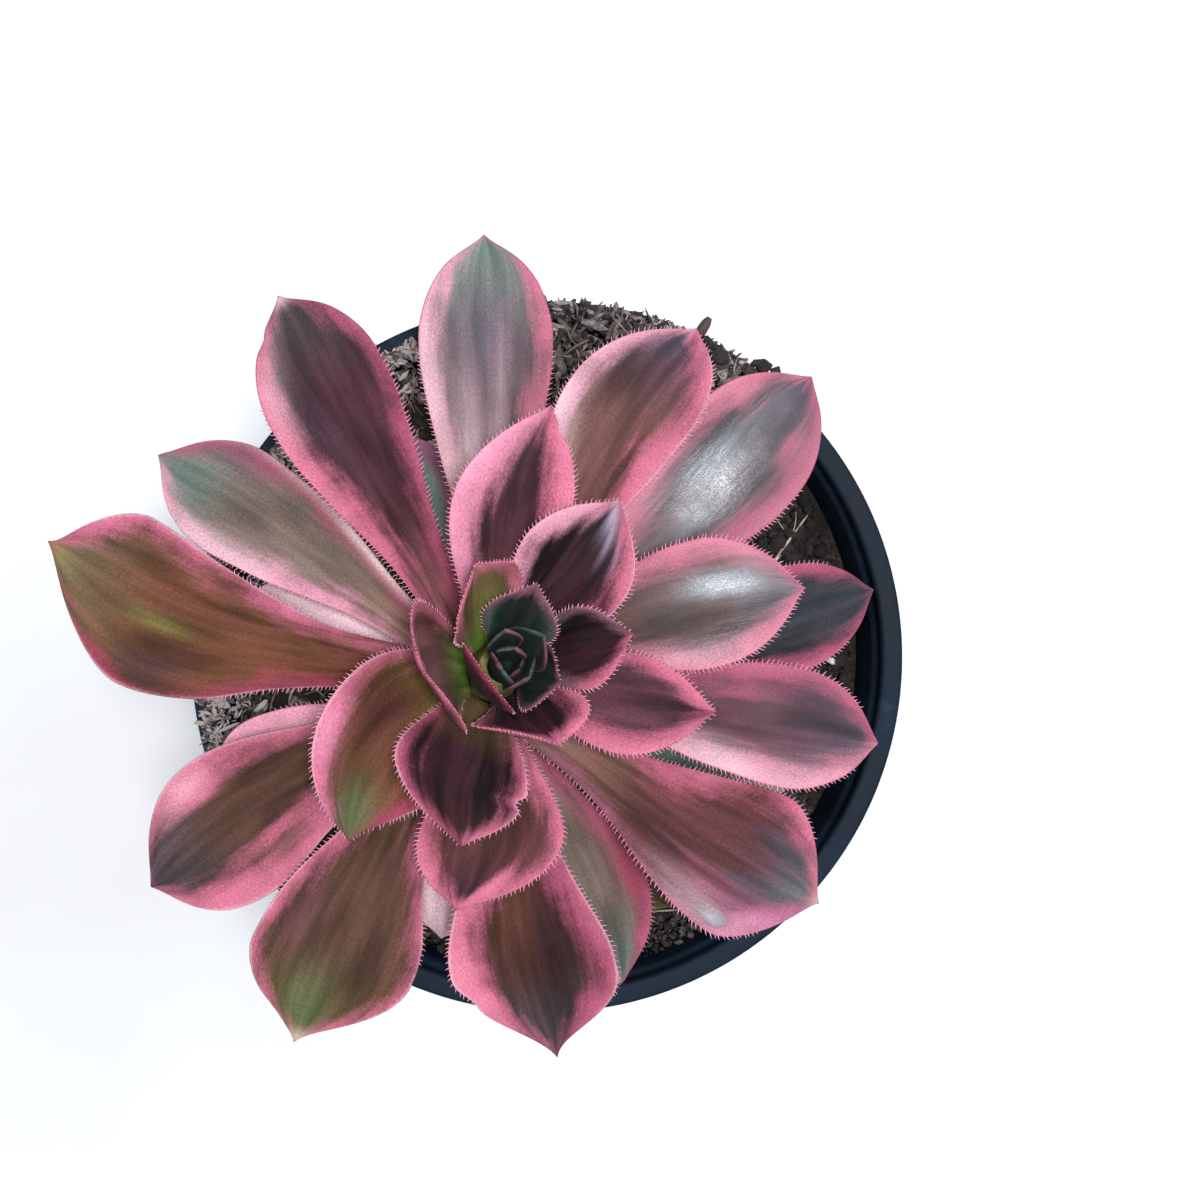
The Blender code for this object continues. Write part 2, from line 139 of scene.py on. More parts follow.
def turn_profile(profile, segments):
    """Points and faces of a solid turned about Z from an outline that starts and ends on the axis."""
    points = []
    rows = []
    for radius, height in profile:
        if radius == 0:
            rows.append([len(points)] * segments)
            points.append((0.0, 0.0, height))
            continue
        rows.append(range(len(points), len(points) + segments))
        points += [(*turned(radius, math.tau * step / segments), height) for step in range(segments)]
    faces = []
    for low, high in zip(rows, rows[1:]):
        for step in range(segments):
            after = (step + 1) % segments
            faces.append(list(dict.fromkeys((low[step], low[after], high[after], high[step]))))
    return points, faces


def inner_radius(height):
    """Radius of the pot's inside, which widens steadily from the floor to the step under the rim."""
    return FLOOR_RADIUS + (STEP_RADIUS - FLOOR_RADIUS) * (height - FLOOR_TOP) / (STEP_TOP - FLOOR_TOP)


def rounded(corners, radius, steps=4):
    """An outline whose inner corners are rounded off to the given radius."""
    outline = [corners[0]]
    for before, corner, after in zip(corners, corners[1:], corners[2:]):
        here = Vector(corner)
        back = Vector(before) - here
        ahead = Vector(after) - here
        reach = min(radius, back.length * 0.45, ahead.length * 0.45)
        start = here + back.normalized() * reach
        end = here + ahead.normalized() * reach
        for step in range(steps + 1):
            share = step / steps
            point = start.lerp(here, share).lerp(here.lerp(end, share), share)
            outline.append((point.x, point.y))
    return [*outline, corners[-1]]


base_radius = inner_radius(0.0) + WALL
pot_corners = (
    (0.0, 0.0),
    (BOSS_RADIUS, 0.0),
    (BOSS_RADIUS + RING_SLOPE, RING_HEIGHT),
    (base_radius - RING_WIDTH - RING_SLOPE, RING_HEIGHT),
    (base_radius - RING_WIDTH, 0.0),
    (base_radius, 0.0),
    (inner_radius(RIM_LOW) + WALL, RIM_LOW),
    (RIM_RADIUS - RIM_TAPER, RIM_LOW),
    (RIM_RADIUS, POT_HEIGHT - 1.4),
    (RIM_RADIUS - 0.25, POT_HEIGHT),
    (RIM_INSIDE, POT_HEIGHT),
    (RIM_INSIDE - 0.2, STEP_TOP + 0.2),
    (STEP_RADIUS, STEP_TOP - 0.6),
    (FLOOR_RADIUS, FLOOR_TOP),
    (0.0, FLOOR_TOP),
)
points, faces = turn_profile(rounded(pot_corners, MOULD_ROUNDING), POT_SEGMENTS)

# Moulded polypropylene gives a soft satin blue-black, a fine orange peel, and pale patches of dust and
# painted sheen.
pot_finish, tree, shader = new_finish("moulded polypropylene, slate blue-black")
place = add_node(tree, "ShaderNodeTexCoord").outputs["Object"]
dust_and_sheen = add_node(
    tree,
    "ShaderNodeTexNoise",
    {"Vector": place, "Scale": 1000 / DUST_AND_SHEEN_PATCH, "Detail": 6.0, "Roughness": 0.7},
)
# The lightest stop is partly dust and partly painted sheen, standing for the sky light on the rim.
dusty = add_node(
    tree,
    "ShaderNodeValToRGB",
    {"Fac": dust_and_sheen},
    stops=((0.34, "#0d1620"), (0.60, "#152332"), (0.80, "#31465a")),
)
peel = add_node(tree, "ShaderNodeTexNoise", {"Vector": place, "Scale": 1000 / ORANGE_PEEL, "Detail": 2.0})
scuffs = add_node(
    tree,
    "ShaderNodeMapRange",
    {"Value": dust_and_sheen, "From Min": 0.3, "From Max": 0.8, "To Min": 0.56, "To Max": 0.76},
)
relief = add_node(tree, "ShaderNodeBump", {"Height": peel, "Distance": 0.00004, "Strength": 0.6})
fill(shader, {"Base Color": dusty, "Roughness": scuffs, "Normal": relief})
fill(shader, {"IOR": 1.49, "Metallic": 0.0, "Specular IOR Level": 0.16})

pot = make_piece("nursery_pot", points, faces, pot_finish)
# The drain holes are cut out with eight plugs, and the cut mesh is kept in place of the whole one
drill_outline = ((0, -1), (DRAIN_RADIUS, -1), (DRAIN_RADIUS, FLOOR_TOP + 1), (0, FLOOR_TOP + 1))
drill_group = bpy.data.collections.new("drills")
drills = []
for step in range(DRAIN_HOLES):
    aside, forward = turned(DRAIN_CIRCLE, math.tau * (step + 0.5) / DRAIN_HOLES)
    drill_points, drill_faces = turn_profile(drill_outline, 32)
    drills.append(make_piece("drill", [(x + aside, y + forward, z) for x, y, z in drill_points], drill_faces))
    drill_group.objects.link(drills[-1])
cut = pot.modifiers.new("drain holes", "BOOLEAN")
cut.operand_type = "COLLECTION"
cut.collection = drill_group
cut.solver = "EXACT"
bpy.context.view_layer.update()
drilled = bpy.data.meshes.new_from_object(pot.evaluated_get(bpy.context.evaluated_depsgraph_get()))
pot.modifiers.clear()
pot.data = drilled
for drill in drills:
    bpy.data.objects.remove(drill, do_unlink=True)
bpy.data.collections.remove(drill_group)
drilled.set_sharp_from_angle(angle=math.radians(50))
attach(pot, "root")
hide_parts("pot")

# The potting mix
# Composted bark with fine crumbs, splinters, a few perlite grains and dry twigs, filled by hand.
# It lies high on the left and heaps over the rim at the back, and has sunk below the rim on the right.
MIX_LEVEL = 98.3
MIX_TILT = 4.4
MIX_TILT_TOWARDS = math.radians(138)
MIX_LOWEST = 91.9
MIX_HIGHEST = 103.5
MOUND_HEIGHT = 4.6
MOUND = turned(56.0, math.radians(72))
MOUND_SPREAD = 17.0
GAP = 0.3
BED_RINGS = 84
BED_SEGMENTS = 240
HUMUS_CRUMB = 1.111
DAMP_PATCH = 8.333
BARK_GRAIN = 0.909
STRAW_GRAIN = 1.4286
PERLITE_PIT = 0.3846


def mix_height(x, y):
    """Height of the mix at a place: a tilted bed with a mound and soft lumps, kept clear of the rim."""
    tilt = MIX_TILT * (x * math.cos(MIX_TILT_TOWARDS) + y * math.sin(MIX_TILT_TOWARDS)) / STEP_RADIUS
    mound = MOUND_HEIGHT * math.exp(-((math.hypot(x - MOUND[0], y - MOUND[1]) / MOUND_SPREAD) ** 2))
    lumps = 0.9 * noise.noise(Vector((x, y, 3.0)) / 9.0) + 0.5 * noise.noise(Vector((x, y, 7.0)) / 4.0)
    return min(MIX_LEVEL + tilt + mound + lumps, MIX_HIGHEST)


def crumbly(x, y):
    """Fine relief of the bed, as crumbs of 1 to 2 mm."""
    coarse = noise.noise(Vector((x, y, 1.0)) / 1.9)
    fine = noise.noise(Vector((x, y, 5.0)) / 0.8)
    return 0.9 * abs(coarse) + 0.45 * fine - 0.5


# Damp bark humus gives a matt near-black brown, with lighter dry crumbs here and there.
bed_finish, tree, shader = new_finish("composted bark humus, damp")
place = add_node(tree, "ShaderNodeTexCoord").outputs["Object"]
crumbs = add_node(
    tree,
    "ShaderNodeTexNoise",
    {"Vector": place, "Scale": 1000 / HUMUS_CRUMB, "Detail": 5.0, "Roughness": 0.7},
)
patches = add_node(tree, "ShaderNodeTexNoise", {"Vector": place, "Scale": 1000 / DAMP_PATCH, "Detail": 3.0})
mixed = add_node(tree, "ShaderNodeMath", {0: crumbs, 1: patches}, operation="MULTIPLY")
earthy = add_node(
    tree,
    "ShaderNodeValToRGB",
    {"Fac": mixed},
    stops=((0.14, "#17120f"), (0.28, "#2c2420"), (0.42, "#5b4f49")),
)
relief = add_node(tree, "ShaderNodeBump", {"Height": crumbs, "Distance": 0.0006, "Strength": 0.9})
fill(shader, {"Base Color": earthy, "Normal": relief, "Roughness": 0.95, "IOR": 1.4})

points = [(0.0, 0.0, mix_height(0.0, 0.0))]
for ring in range(1, BED_RINGS + 1):
    reach = (inner_radius(MIX_LOWEST) - GAP) * ring / BED_RINGS
    for step in range(BED_SEGMENTS):
        x, y = turned(reach, math.tau * step / BED_SEGMENTS)
        points.append((x, y, mix_height(x, y) + crumbly(x, y)))
bed_foot = FLOOR_TOP + GAP
foot_reach = inner_radius(bed_foot) - GAP
points += [(*turned(foot_reach, math.tau * step / BED_SEGMENTS), bed_foot) for step in range(BED_SEGMENTS)]
points.append((0.0, 0.0, bed_foot))
faces = []
last = 1 + BED_RINGS * BED_SEGMENTS
for step in range(BED_SEGMENTS):
    after = (step + 1) % BED_SEGMENTS
    faces.append((0, 1 + step, 1 + after))
    for low in range(1, last, BED_SEGMENTS):
        high = low + BED_SEGMENTS
        faces.append((low + step, high + step, high + after, low + after))
    faces.append((last + step, len(points) - 1, last + after))
bed = make_piece("mix_bed", points, faces, bed_finish)
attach(bed, "root")
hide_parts("potting_mix")


def tube_faces(rows, sides):
    """The faces between the rings of a tube, whose points follow each other ring by ring."""
    return [
        (low + step, low + (step + 1) % sides, low + sides + (step + 1) % sides, low + sides + step)
        for low in range(0, (rows - 1) * sides, sides)
        for step in range(sides)
    ]


def flake(centre, size, spin, corners=7):
    """Points and faces of a broken bark flake: an uneven outline of some corners, with worn edges."""
    bend = [draw.uniform(0.55, 1.0) for _ in range(corners)]
    shift = [draw.uniform(-0.3, 0.3) for _ in range(corners)]
    points = []
    for height, inset in ((-0.5, 0.80), (-0.2, 1.0), (0.22, 0.97), (0.5, 0.74)):
        for corner in range(corners):
            angle = math.tau * (corner + shift[corner] + 0.3 * height) / corners
            x, y = turned(bend[corner] * inset * draw.uniform(0.92, 1.0) / 2, angle)
            points.append((size[0] * x, size[1] * y, size[2] * height))
    points += [(0.0, 0.0, -0.5 * size[2]), (0.0, 0.0, 0.52 * size[2])]
    faces = tube_faces(4, corners)
    top = 3 * corners
    for corner in range(corners):
        after = (corner + 1) % corners
        faces.append((corner, 4 * corners, after))
        faces.append((top + corner, top + after, 4 * corners + 1))
    matrix = Matrix.Translation(centre) @ spin
    return [matrix @ Vector(point) for point in points], faces


def any_spin(lean):
    """A random turn about Z, tipped by up to the given lean."""
    tip_x = Matrix.Rotation(draw.uniform(-lean, lean), 4, "X")
    tip_y = Matrix.Rotation(draw.uniform(-lean, lean), 4, "Y")
    return Matrix.Rotation(draw.uniform(0, math.tau), 4, "Z") @ tip_x @ tip_y


def bit_size(long, broad, thick):
    """Length, breadth and thickness of a bit. The last two are drawn as shares of its length."""
    return long, long * draw.uniform(*broad), long * draw.uniform(*thick)


class Heap:
    """Many small loose bits gathered into one mesh, each with a tone of its own."""

    def __init__(self):
        self.points = []
        self.faces = []
        self.tones = []

    def add(self, points, faces, tone):
        first = len(self.points)
        self.points += points
        self.faces += [tuple(first + corner for corner in face) for face in faces]
        self.tones += [tone] * len(points)

    def make(self, name, finish):
        piece = make_piece(name, self.points, self.faces, finish)
        tone = piece.data.attributes.new("tone", "FLOAT", "POINT")
        tone.data.foreach_set("value", np.array(self.tones, np.float32))
        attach(piece, "root")
        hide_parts("potting_mix")


# Pine bark splits into flakes that dry to a dusty grey-brown, with a fine ragged grain.
bark_finish, tree, shader = new_finish("composted pine bark, dry flakes")
place = add_node(tree, "ShaderNodeTexCoord").outputs["Object"]
tone = add_node(tree, "ShaderNodeAttribute", attribute_name="tone")
grain = add_node(
    tree,
    "ShaderNodeTexNoise",
    {"Vector": place, "Scale": 1000 / BARK_GRAIN, "Detail": 6.0, "Roughness": 0.75},
)
shade = add_node(tree, "ShaderNodeMath", {0: tone.outputs["Fac"], 1: grain}, operation="MULTIPLY")
barky = add_node(
    tree,
    "ShaderNodeValToRGB",
    {"Fac": shade},
    stops=((0.05, "#1a1615"), (0.25, "#39312f"), (0.45, "#6b6060"), (0.70, "#b6aba6")),
)
relief = add_node(tree, "ShaderNodeBump", {"Height": grain, "Distance": 0.0005, "Strength": 0.9})
fill(shader, {"Base Color": barky, "Normal": relief, "Roughness": 0.9, "IOR": 1.45})

# How many loose bits lie in each part of the mix
BED_FLAKES = 640
BACK_FLAKES = 760
RIGHT_FLAKES = 560
LEFT_BITS = 2300
DRIFTED_BITS = 1500
CRUMBS = 3600
BACK_CRUMBS = 700
LOOSE_FIBRES = 150
TANGLED_FIBRES = 420
GOLDEN_ANGLE = math.radians(137.508)


def dryness_and_painted_light(x, y):
    """Share of light bits, more on the left and at the back: partly dry bark, partly painted light on the lit
    side and painted shade on the right.
    """
    return min(1.0, max(0.0, 0.5 + (-x * 0.75 + y * 0.55) / 75.0))


draw = random.Random(7)
flakes = Heap()
# Flakes spread evenly over the bed, darker on the right as painted shade
for number in range(BED_FLAKES):
    reach = (inner_radius(MIX_LOWEST) - 2.6) * math.sqrt((number + 0.5) / BED_FLAKES)
    x, y = turned(reach, number * GOLDEN_ANGLE + draw.uniform(-0.12, 0.12))
    size = bit_size(draw.choice((2.2, 2.8, 3.4, 4.2, 5.2, 6.4)), (0.45, 0.8), (0.25, 0.45))
    centre = (x, y, mix_height(x, y) + draw.uniform(-0.3, 0.6))
    # Painted light and shade: lighter towards the left and the back, and darkened right of x = 18 mm.
    tone = (draw.uniform(0.12, 0.45) + 1.1 * dryness_and_painted_light(x, y) * draw.random()) * (0.6 if x > 18 else 1.0)
    flakes.add(*flake(centre, size, any_spin(0.6)), tone)
# The heap at the back, which lies over the rim
for number in range(BACK_FLAKES):
    angle = math.radians(draw.uniform(49, 95))
    reach = draw.uniform(52.0, 64.0) if number % 3 else draw.uniform(62.8, 64.6)
    long = draw.choice((2.2, 3.0, 4.0, 5.2, 7.0, 8.5))
    long, broad, thick = bit_size(min(long, 3.0) if reach > 61.5 else long, (0.12, 0.36), (0.12, 0.26))
    lift = draw.uniform(0.0, 2.4) * min(1.0, (66.0 - reach) / 5.0)
    centre = (*turned(reach, angle), 105.7 + lift - 1.2 * (reach < 59.0))
    tone = draw.uniform(0.35, 0.95) + 0.6 * draw.random() ** 4
    flakes.add(*flake(centre, (long, broad, min(1.4, thick)), any_spin(0.25)), tone)
# Fine bits along the left wall, two in three of them spilled over the rim
bits = Heap()
for number in range(LEFT_BITS):
    spilled = number % 3
    angle = math.radians(draw.uniform(93, 205) if spilled else draw.uniform(93, 216))
    far = 64.0 if 150 < math.degrees(angle) < 200 else 62.6
    x, y = turned(draw.uniform(59.4, far) if spilled else draw.uniform(54.5, 60.2), angle)
    long = draw.choice((1.2, 1.8, 2.6, 3.4)) if spilled else draw.choice((2.0, 2.8, 3.6))
    size = bit_size(long, (0.16, 0.45), (0.14, 0.26))
    level = 105.3 + draw.uniform(0.0, 0.7) if spilled else 101.2 + draw.uniform(0.0, 3.6)
    centre = (x, y, max(mix_height(x, y) + 0.4, level))
    # Their light tones are partly dry bark and partly painted light on the lit left side.
    tone = draw.choice((draw.uniform(0.6, 1.0), draw.uniform(1.1, 1.7), draw.uniform(1.5, 2.4)))
    bits.add(*flake(centre, size, any_spin(0.2 if spilled else 0.5), 5), tone)
# Dark flakes along the right and the bottom wall, with painted light on those along the bottom
for number in range(RIGHT_FLAKES):
    angle = math.radians(draw.uniform(-125, 46))
    x, y = turned(draw.uniform(42.0, 56.6), angle)
    size = bit_size(draw.choice((1.2, 1.8, 2.6, 3.4, 4.4)), (0.5, 0.9), (0.4, 0.7))
    centre = (x, y, mix_height(x, y) + draw.uniform(-0.2, 1.0))
    # Painted light: flakes along the bottom wall, below -30 degrees, are lightened.
    light = 0.5 if math.degrees(angle) < -30 else 0.0
    tone = draw.uniform(0.1, 0.4) + light * draw.random()
    flakes.add(*flake(centre, size, any_spin(0.6)), tone)
# Fine bits that have drifted up against the bottom wall
for number in range(DRIFTED_BITS):
    angle = math.radians(draw.uniform(-125, -38))
    reach = draw.uniform(53.0, 58.2)
    x, y = turned(reach, angle)
    size = bit_size(draw.choice((0.6, 0.8, 1.1, 1.6, 2.8)), (0.25, 0.8), (0.2, 0.5))
    bed_level = mix_height(x, y) + 0.3
    drift = max(0.0, 95.4 + 6.0 * (reach - 53.0) / 5.2 - bed_level) * math.sqrt(draw.random())
    bits.add(*flake((x, y, bed_level + drift), size, any_spin(0.9), 5), draw.uniform(0.15, 0.85))
bits.make("bark_bits", bark_finish)
# The biggest bits: nuggets, a broken twig and pale splinters at the back, straws over the rim on the left
for centre, size, heading, tone in (
    ((31.4, 54.1, 107.9), (5.0, 4.7, 3.6), 0.4, 0.42),
    ((36.5, 51.5, 107.0), (3.6, 3.0, 2.4), 1.2, 0.5),
    ((39.4, 52.6, 107.2), (4.2, 3.0, 2.2), -0.5, 0.3),
    ((41.6, 51.6, 107.2), (3.4, 2.8, 2.2), 0.9, 0.45),
    ((38.4, 53.2, 107.2), (4.0, 2.0, 2.0), 0.2, 0.38),
    ((35.2, 53.2, 108.0), (1.8, 1.2, 0.9), 0.2, 1.6),
    ((29.6, 56.6, 107.6), (4.8, 1.9, 1.6), -1.05, 0.3),
    ((2.6, 64.2, 106.6), (5.4, 1.4, 0.6), -0.02, 1.1),
    ((8.0, 63.4, 107.0), (5.0, 1.6, 0.8), -0.4, 0.45),
    ((18.4, 61.8, 107.2), (4.4, 0.6, 0.5), 1.9, 0.4),
    ((12.6, 63.4, 107.0), (2.6, 1.3, 0.8), 1.4, 1.0),
    ((-57.7, -12.7, 106.0), (6.8, 1.1, 0.6), 0.41, 1.8),
    ((-59.6, -13.1, 106.2), (6.0, 0.8, 0.5), 0.87, 1.4),
    ((-61.4, -11.4, 106.0), (5.0, 0.8, 0.5), 0.9, 1.1),
    ((-58.8, -8.2, 106.0), (5.5, 2.2, 0.8), -0.6, 1.3),
    ((-61.6, -15.0, 105.8), (5.0, 0.5, 0.4), 0.6, 1.2),
    ((-60.6, -5.4, 106.0), (4.6, 0.7, 0.5), 1.9, 1.5),
    ((-52.1, -9.0, 104.6), (4.0, 1.8, 1.0), 0.7, 2.0),
    ((-55.0, -6.8, 105.2), (4.4, 0.8, 0.5), -0.3, 0.5),
):
    flakes.add(*flake(centre, size, Matrix.Rotation(heading, 4, "Z")), tone)
flakes.make("bark_flakes", bark_finish)

# Crumbs all over the bed, then over the heap at the back
fines = Heap()
for number in range(CRUMBS):
    reach = (inner_radius(MIX_LOWEST) - 0.8) * math.sqrt(draw.random())
    x, y = turned(reach, draw.uniform(0, math.tau))
    size = bit_size(draw.uniform(0.6, 1.7), (0.4, 0.9), (0.4, 0.8))
    centre = (x, y, mix_height(x, y) + draw.uniform(0.0, 1.1))
    # Painted light and shade: lighter towards the left and the back, and darkened right of x = 18 mm.
    tone = (draw.uniform(0.1, 0.45) + 1.3 * dryness_and_painted_light(x, y) * draw.random() ** 2) * (0.7 if x > 18 else 1.0)
    fines.add(*flake(centre, size, any_spin(1.2), 5), tone)
for number in range(BACK_CRUMBS):
    angle = math.radians(draw.uniform(48, 94))
    reach = draw.uniform(52.0, 64.5)
    size = bit_size(draw.uniform(0.8, 2.0), (0.4, 0.9), (0.4, 0.8))
    centre = (*turned(reach, angle), 105.3 + draw.uniform(0.3, 2.8) * min(1.0, (66.0 - reach) / 5.0))
    fines.add(*flake(centre, size, any_spin(1.2), 5), draw.uniform(0.1, 0.7))
fines.make("bark_crumbs", bark_finish)


def fibre(line, thick, sides=5):
    """Points and faces of a thin twig or fibre that follows a line and tapers at both ends."""
    points = []
    line = [Vector(point) for point in line]
    for number, here in enumerate(line):
        ahead = (line[min(number + 1, len(line) - 1)] - line[max(number - 1, 0)]).normalized()
        level = Vector((0.0, 0.0, 1.0)) if abs(ahead.z) < 0.9 else Vector((1.0, 0.0, 0.0))
        side = ahead.cross(level).normalized()
        up = side.cross(ahead)
        share = number / (len(line) - 1)
        radius = thick / 2 * (0.35 + 0.65 * math.sin(math.pi * min(1.0, 0.15 + 0.8 * share)))
        for step in range(sides):
            angle = math.tau * step / sides
            points.append(here + (side * math.cos(angle) + up * math.sin(angle)) * radius)
    faces = tube_faces(len(line), sides)
    faces.append(tuple(reversed(range(sides))))
    faces.append(tuple(range((len(line) - 1) * sides, len(line) * sides)))
    return points, faces


# Dry straw and root fibres are silvery tan where they catch the light, and earth-brown where they are damp.
straw_finish, tree, shader = new_finish("dry straw and root fibre")
place = add_node(tree, "ShaderNodeTexCoord").outputs["Object"]
tone = add_node(tree, "ShaderNodeAttribute", attribute_name="tone")
grain = add_node(tree, "ShaderNodeTexNoise", {"Vector": place, "Scale": 1000 / STRAW_GRAIN, "Detail": 3.0})
shade = add_node(tree, "ShaderNodeMath", {0: tone.outputs["Fac"], 1: grain}, operation="MULTIPLY")
strawy = add_node(
    tree, "ShaderNodeValToRGB", {"Fac": shade}, stops=((0.05, "#4a3d33"), (0.3, "#857464"), (0.6, "#c9bba6"))
)
fill(shader, {"Base Color": strawy, "Roughness": 0.7, "IOR": 1.45})

fibres = Heap()
# Long fibres that lie loose on the bed
for number in range(LOOSE_FIBRES):
    reach = 53.0 * math.sqrt(draw.random())
    x, y = turned(reach, draw.uniform(0, math.tau))
    heading = draw.uniform(0, math.tau)
    bend = draw.uniform(-0.12, 0.12)
    long = draw.uniform(3.0, 13.0)
    line = []
    for step in range(9):
        line.append((x, y, min(mix_height(x, y) + 1.0 + 0.7 * math.sin(step * 0.8 + number), 105.5)))
        x += long / 8 * math.cos(heading)
        y += long / 8 * math.sin(heading)
        heading += bend
        if math.hypot(x, y) > inner_radius(MIX_LOWEST) - 1.5:
            break
    if len(line) > 3:
        fibres.add(*fibre(line, draw.uniform(0.16, 0.45)), draw.uniform(0.3, 1.0))
# Short tangled fibres: every other one in the heap at the back, the rest on the left
for number in range(TANGLED_FIBRES):
    at_back = number % 2
    angle = math.radians(draw.uniform(48, 100) if at_back else draw.uniform(92, 215))
    reach = draw.uniform(40.0, 63.5) if at_back else draw.uniform(40.0, 58.0)
    x, y = turned(reach, angle)
    heading = draw.uniform(0, math.tau)
    bend = draw.uniform(-0.25, 0.25)
    long = draw.uniform(2.0, 7.0)
    on_heap = at_back and reach > 52.0
    level = mix_height(x, y) + 1.2
    if on_heap:
        level = 106.4 + draw.uniform(0.0, 2.0)
    elif reach > 54.0:
        level = 102.5 + draw.uniform(0.0, 1.6)
    line = []
    for step in range(6):
        line.append((x, y, level + 0.5 * math.sin(step * 1.1 + number)))
        x += long / 5 * math.cos(heading)
        y += long / 5 * math.sin(heading)
        heading += bend
        if math.hypot(x, y) > (64.6 if on_heap else 59.0):
            break
    if len(line) > 3:
        fibres.add(*fibre(line, draw.uniform(0.2, 0.6)), draw.uniform(0.1, 0.65))
# The ones that stand out: three on the right, the dark twig at the back and two straws on the left rim
for line, thick, tone in (
    (((43.0, 15.5, 97.0), (38.0, 10.0, 97.8), (33.0, 5.5, 97.0)), 0.9, 0.55),
    (((49.0, 27.0, 97.0), (43.0, 19.0, 98.6), (36.5, 9.0, 97.6)), 0.5, 0.8),
    (((52.0, -6.0, 96.0), (57.5, -11.0, 97.4), (58.5, -22.0, 97.4), (57.0, -28.0, 96.4)), 0.35, 0.9),
    (((25.8, 55.8, 106.2), (27.6, 58.4, 107.2), (28.9, 60.4, 107.9), (29.5, 61.3, 108.1)), 2.0, 0.09),
    (((-61.0, 2.5, 105.8), (-59.5, -1.0, 106.4), (-57.5, -3.0, 105.6)), 0.8, 1.0),
    (((-60.5, -4.5, 105.6), (-57.0, -2.5, 106.2), (-54.0, -2.0, 105.2)), 0.6, 0.9),
):
    dense = []
    for first, second in zip(line, line[1:]):
        dense += [Vector(first).lerp(Vector(second), step / 5) for step in range(5)]
    fibres.add(*fibre([*dense, line[-1]], thick, 8), tone)
fibres.make("twigs_and_fibres", straw_finish)

# Expanded perlite is a chalk-white popped glass, matt and pitted.
perlite_finish, tree, shader = new_finish("expanded perlite, chalk white")
place = add_node(tree, "ShaderNodeTexCoord").outputs["Object"]
pits = add_node(tree, "ShaderNodeTexVoronoi", {"Vector": place, "Scale": 1000 / PERLITE_PIT})
chalky = add_node(
    tree, "ShaderNodeValToRGB", {"Fac": pits}, stops=((0.0, "#a8a49c"), (0.5, "#d9d6cf"), (1.0, "#efeeea"))
)
relief = add_node(tree, "ShaderNodeBump", {"Height": pits, "Distance": 0.0002, "Strength": 0.8})
fill(shader, {"Base Color": chalky, "Normal": relief, "Roughness": 0.95, "IOR": 1.5})

perlite = Heap()
for x, y, long in (
    (53.0, -1.0, 2.2), (49.5, 3.0, 1.2), (-55.0, -13.0, 1.6), (-50.0, -16.5, 1.2), (11.0, 55.5, 1.8),
    (34.0, -42.0, 1.3), (-22.0, -44.0, 1.5), (-47.0, 24.0, 1.4), (46.0, -28.0, 1.2), (-3.0, 51.0, 1.4),
):
    centre = (x, y, min(mix_height(x, y) + 1.2, 106.5))
    perlite.add(*flake(centre, (long, long * 0.9, long * 0.8), any_spin(1.0), 8), 1.0)
perlite.make("perlite_grains", perlite_finish)

# The stem
# A short woody stem that leans to the upper right, ringed with the scars of shed leaves. Its foot stands
# in the mix and its top carries the leaves.
STEM_FOOT = (-16.0, -6.5, 95.0)
LEAN = math.radians(15)
LEAN_TOWARDS = math.radians(31)
STEM_BURIED = 18.0
STEM_TOP = 44.0
STEM_PROFILE = ((-18.0, 5.2), (10.0, 5.5), (30.0, 5.2), (44.0, 3.8))
STEM_ROWS = 125
SCAR_DEPTH = 0.055
CORK_GRAIN = 2.0

lean_axis = Vector((-math.sin(LEAN_TOWARDS), math.cos(LEAN_TOWARDS), 0.0))
plant_frame = Matrix.Translation(STEM_FOOT) @ Matrix.Rotation(LEAN, 4, lean_axis)


def in_plant(points):
    """Points given in the plant's own frame, whose Z runs up the stem, moved to the leaning plant."""
    turn = np.array(plant_frame.to_3x3())
    placed = np.asarray(points, float) @ turn.T + np.array(plant_frame.translation)
    return np.clip(placed, np.array(cad_box[0]) * 1000, np.array(cad_box[1]) * 1000)


def stem_radius(height):
    """Radius of the stem at a height along it."""
    return np.interp(height, [row[0] for row in STEM_PROFILE], [row[1] for row in STEM_PROFILE])


# Young bark is green under a thin tan skin, with darker corky scars.
stem_finish, tree, shader = new_finish("young corky stem skin, tan over green")
place = add_node(tree, "ShaderNodeTexCoord").outputs["Object"]
skin = add_node(
    tree,
    "ShaderNodeTexNoise",
    {"Vector": place, "Scale": 1000 / CORK_GRAIN, "Detail": 5.0, "Roughness": 0.65},
)
stemmy = add_node(
    tree, "ShaderNodeValToRGB", {"Fac": skin}, stops=((0.3, "#4d4a2a"), (0.5, "#7d8042"), (0.7, "#a5946a"))
)
relief = add_node(tree, "ShaderNodeBump", {"Height": skin, "Distance": 0.0003, "Strength": 0.7})
fill(shader, {"Base Color": stemmy, "Normal": relief, "Roughness": 0.6, "IOR": 1.45})

heights = np.linspace(-STEM_BURIED, STEM_TOP, STEM_ROWS)
profile = [(float(stem_radius(height)), float(height)) for height in heights]
points, faces = turn_profile([(0.0, -STEM_BURIED), *profile, (0.0, STEM_TOP)], 64)
points = np.array(points)
around = np.arctan2(points[:, 1], points[:, 0])
rings = np.abs(np.sin(points[:, 2] * 1.1 + 1.3 * np.sin(around * 3 + points[:, 2] * 0.35)))
points[:, :2] *= (1 - SCAR_DEPTH * (1 - rings) ** 3)[:, None]
stem = make_piece("stem_with_scars", in_plant(points), faces, stem_finish)
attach(stem, "root")
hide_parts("stem")

# The leaves
# Thirty-four fleshy leaves in a spiral round the stem, each a spoon with a short point. They grew rose and
# cream along the edges and dark in the middle, and carry a fringe of stiff hairs up to 1 mm long.
BLADE_EDGE = 0.6
BLADE_CUP = math.radians(22)
BLADE_FLESH = 2.4
ROW_STEP = 0.85
COLUMN_STEP = 1.4

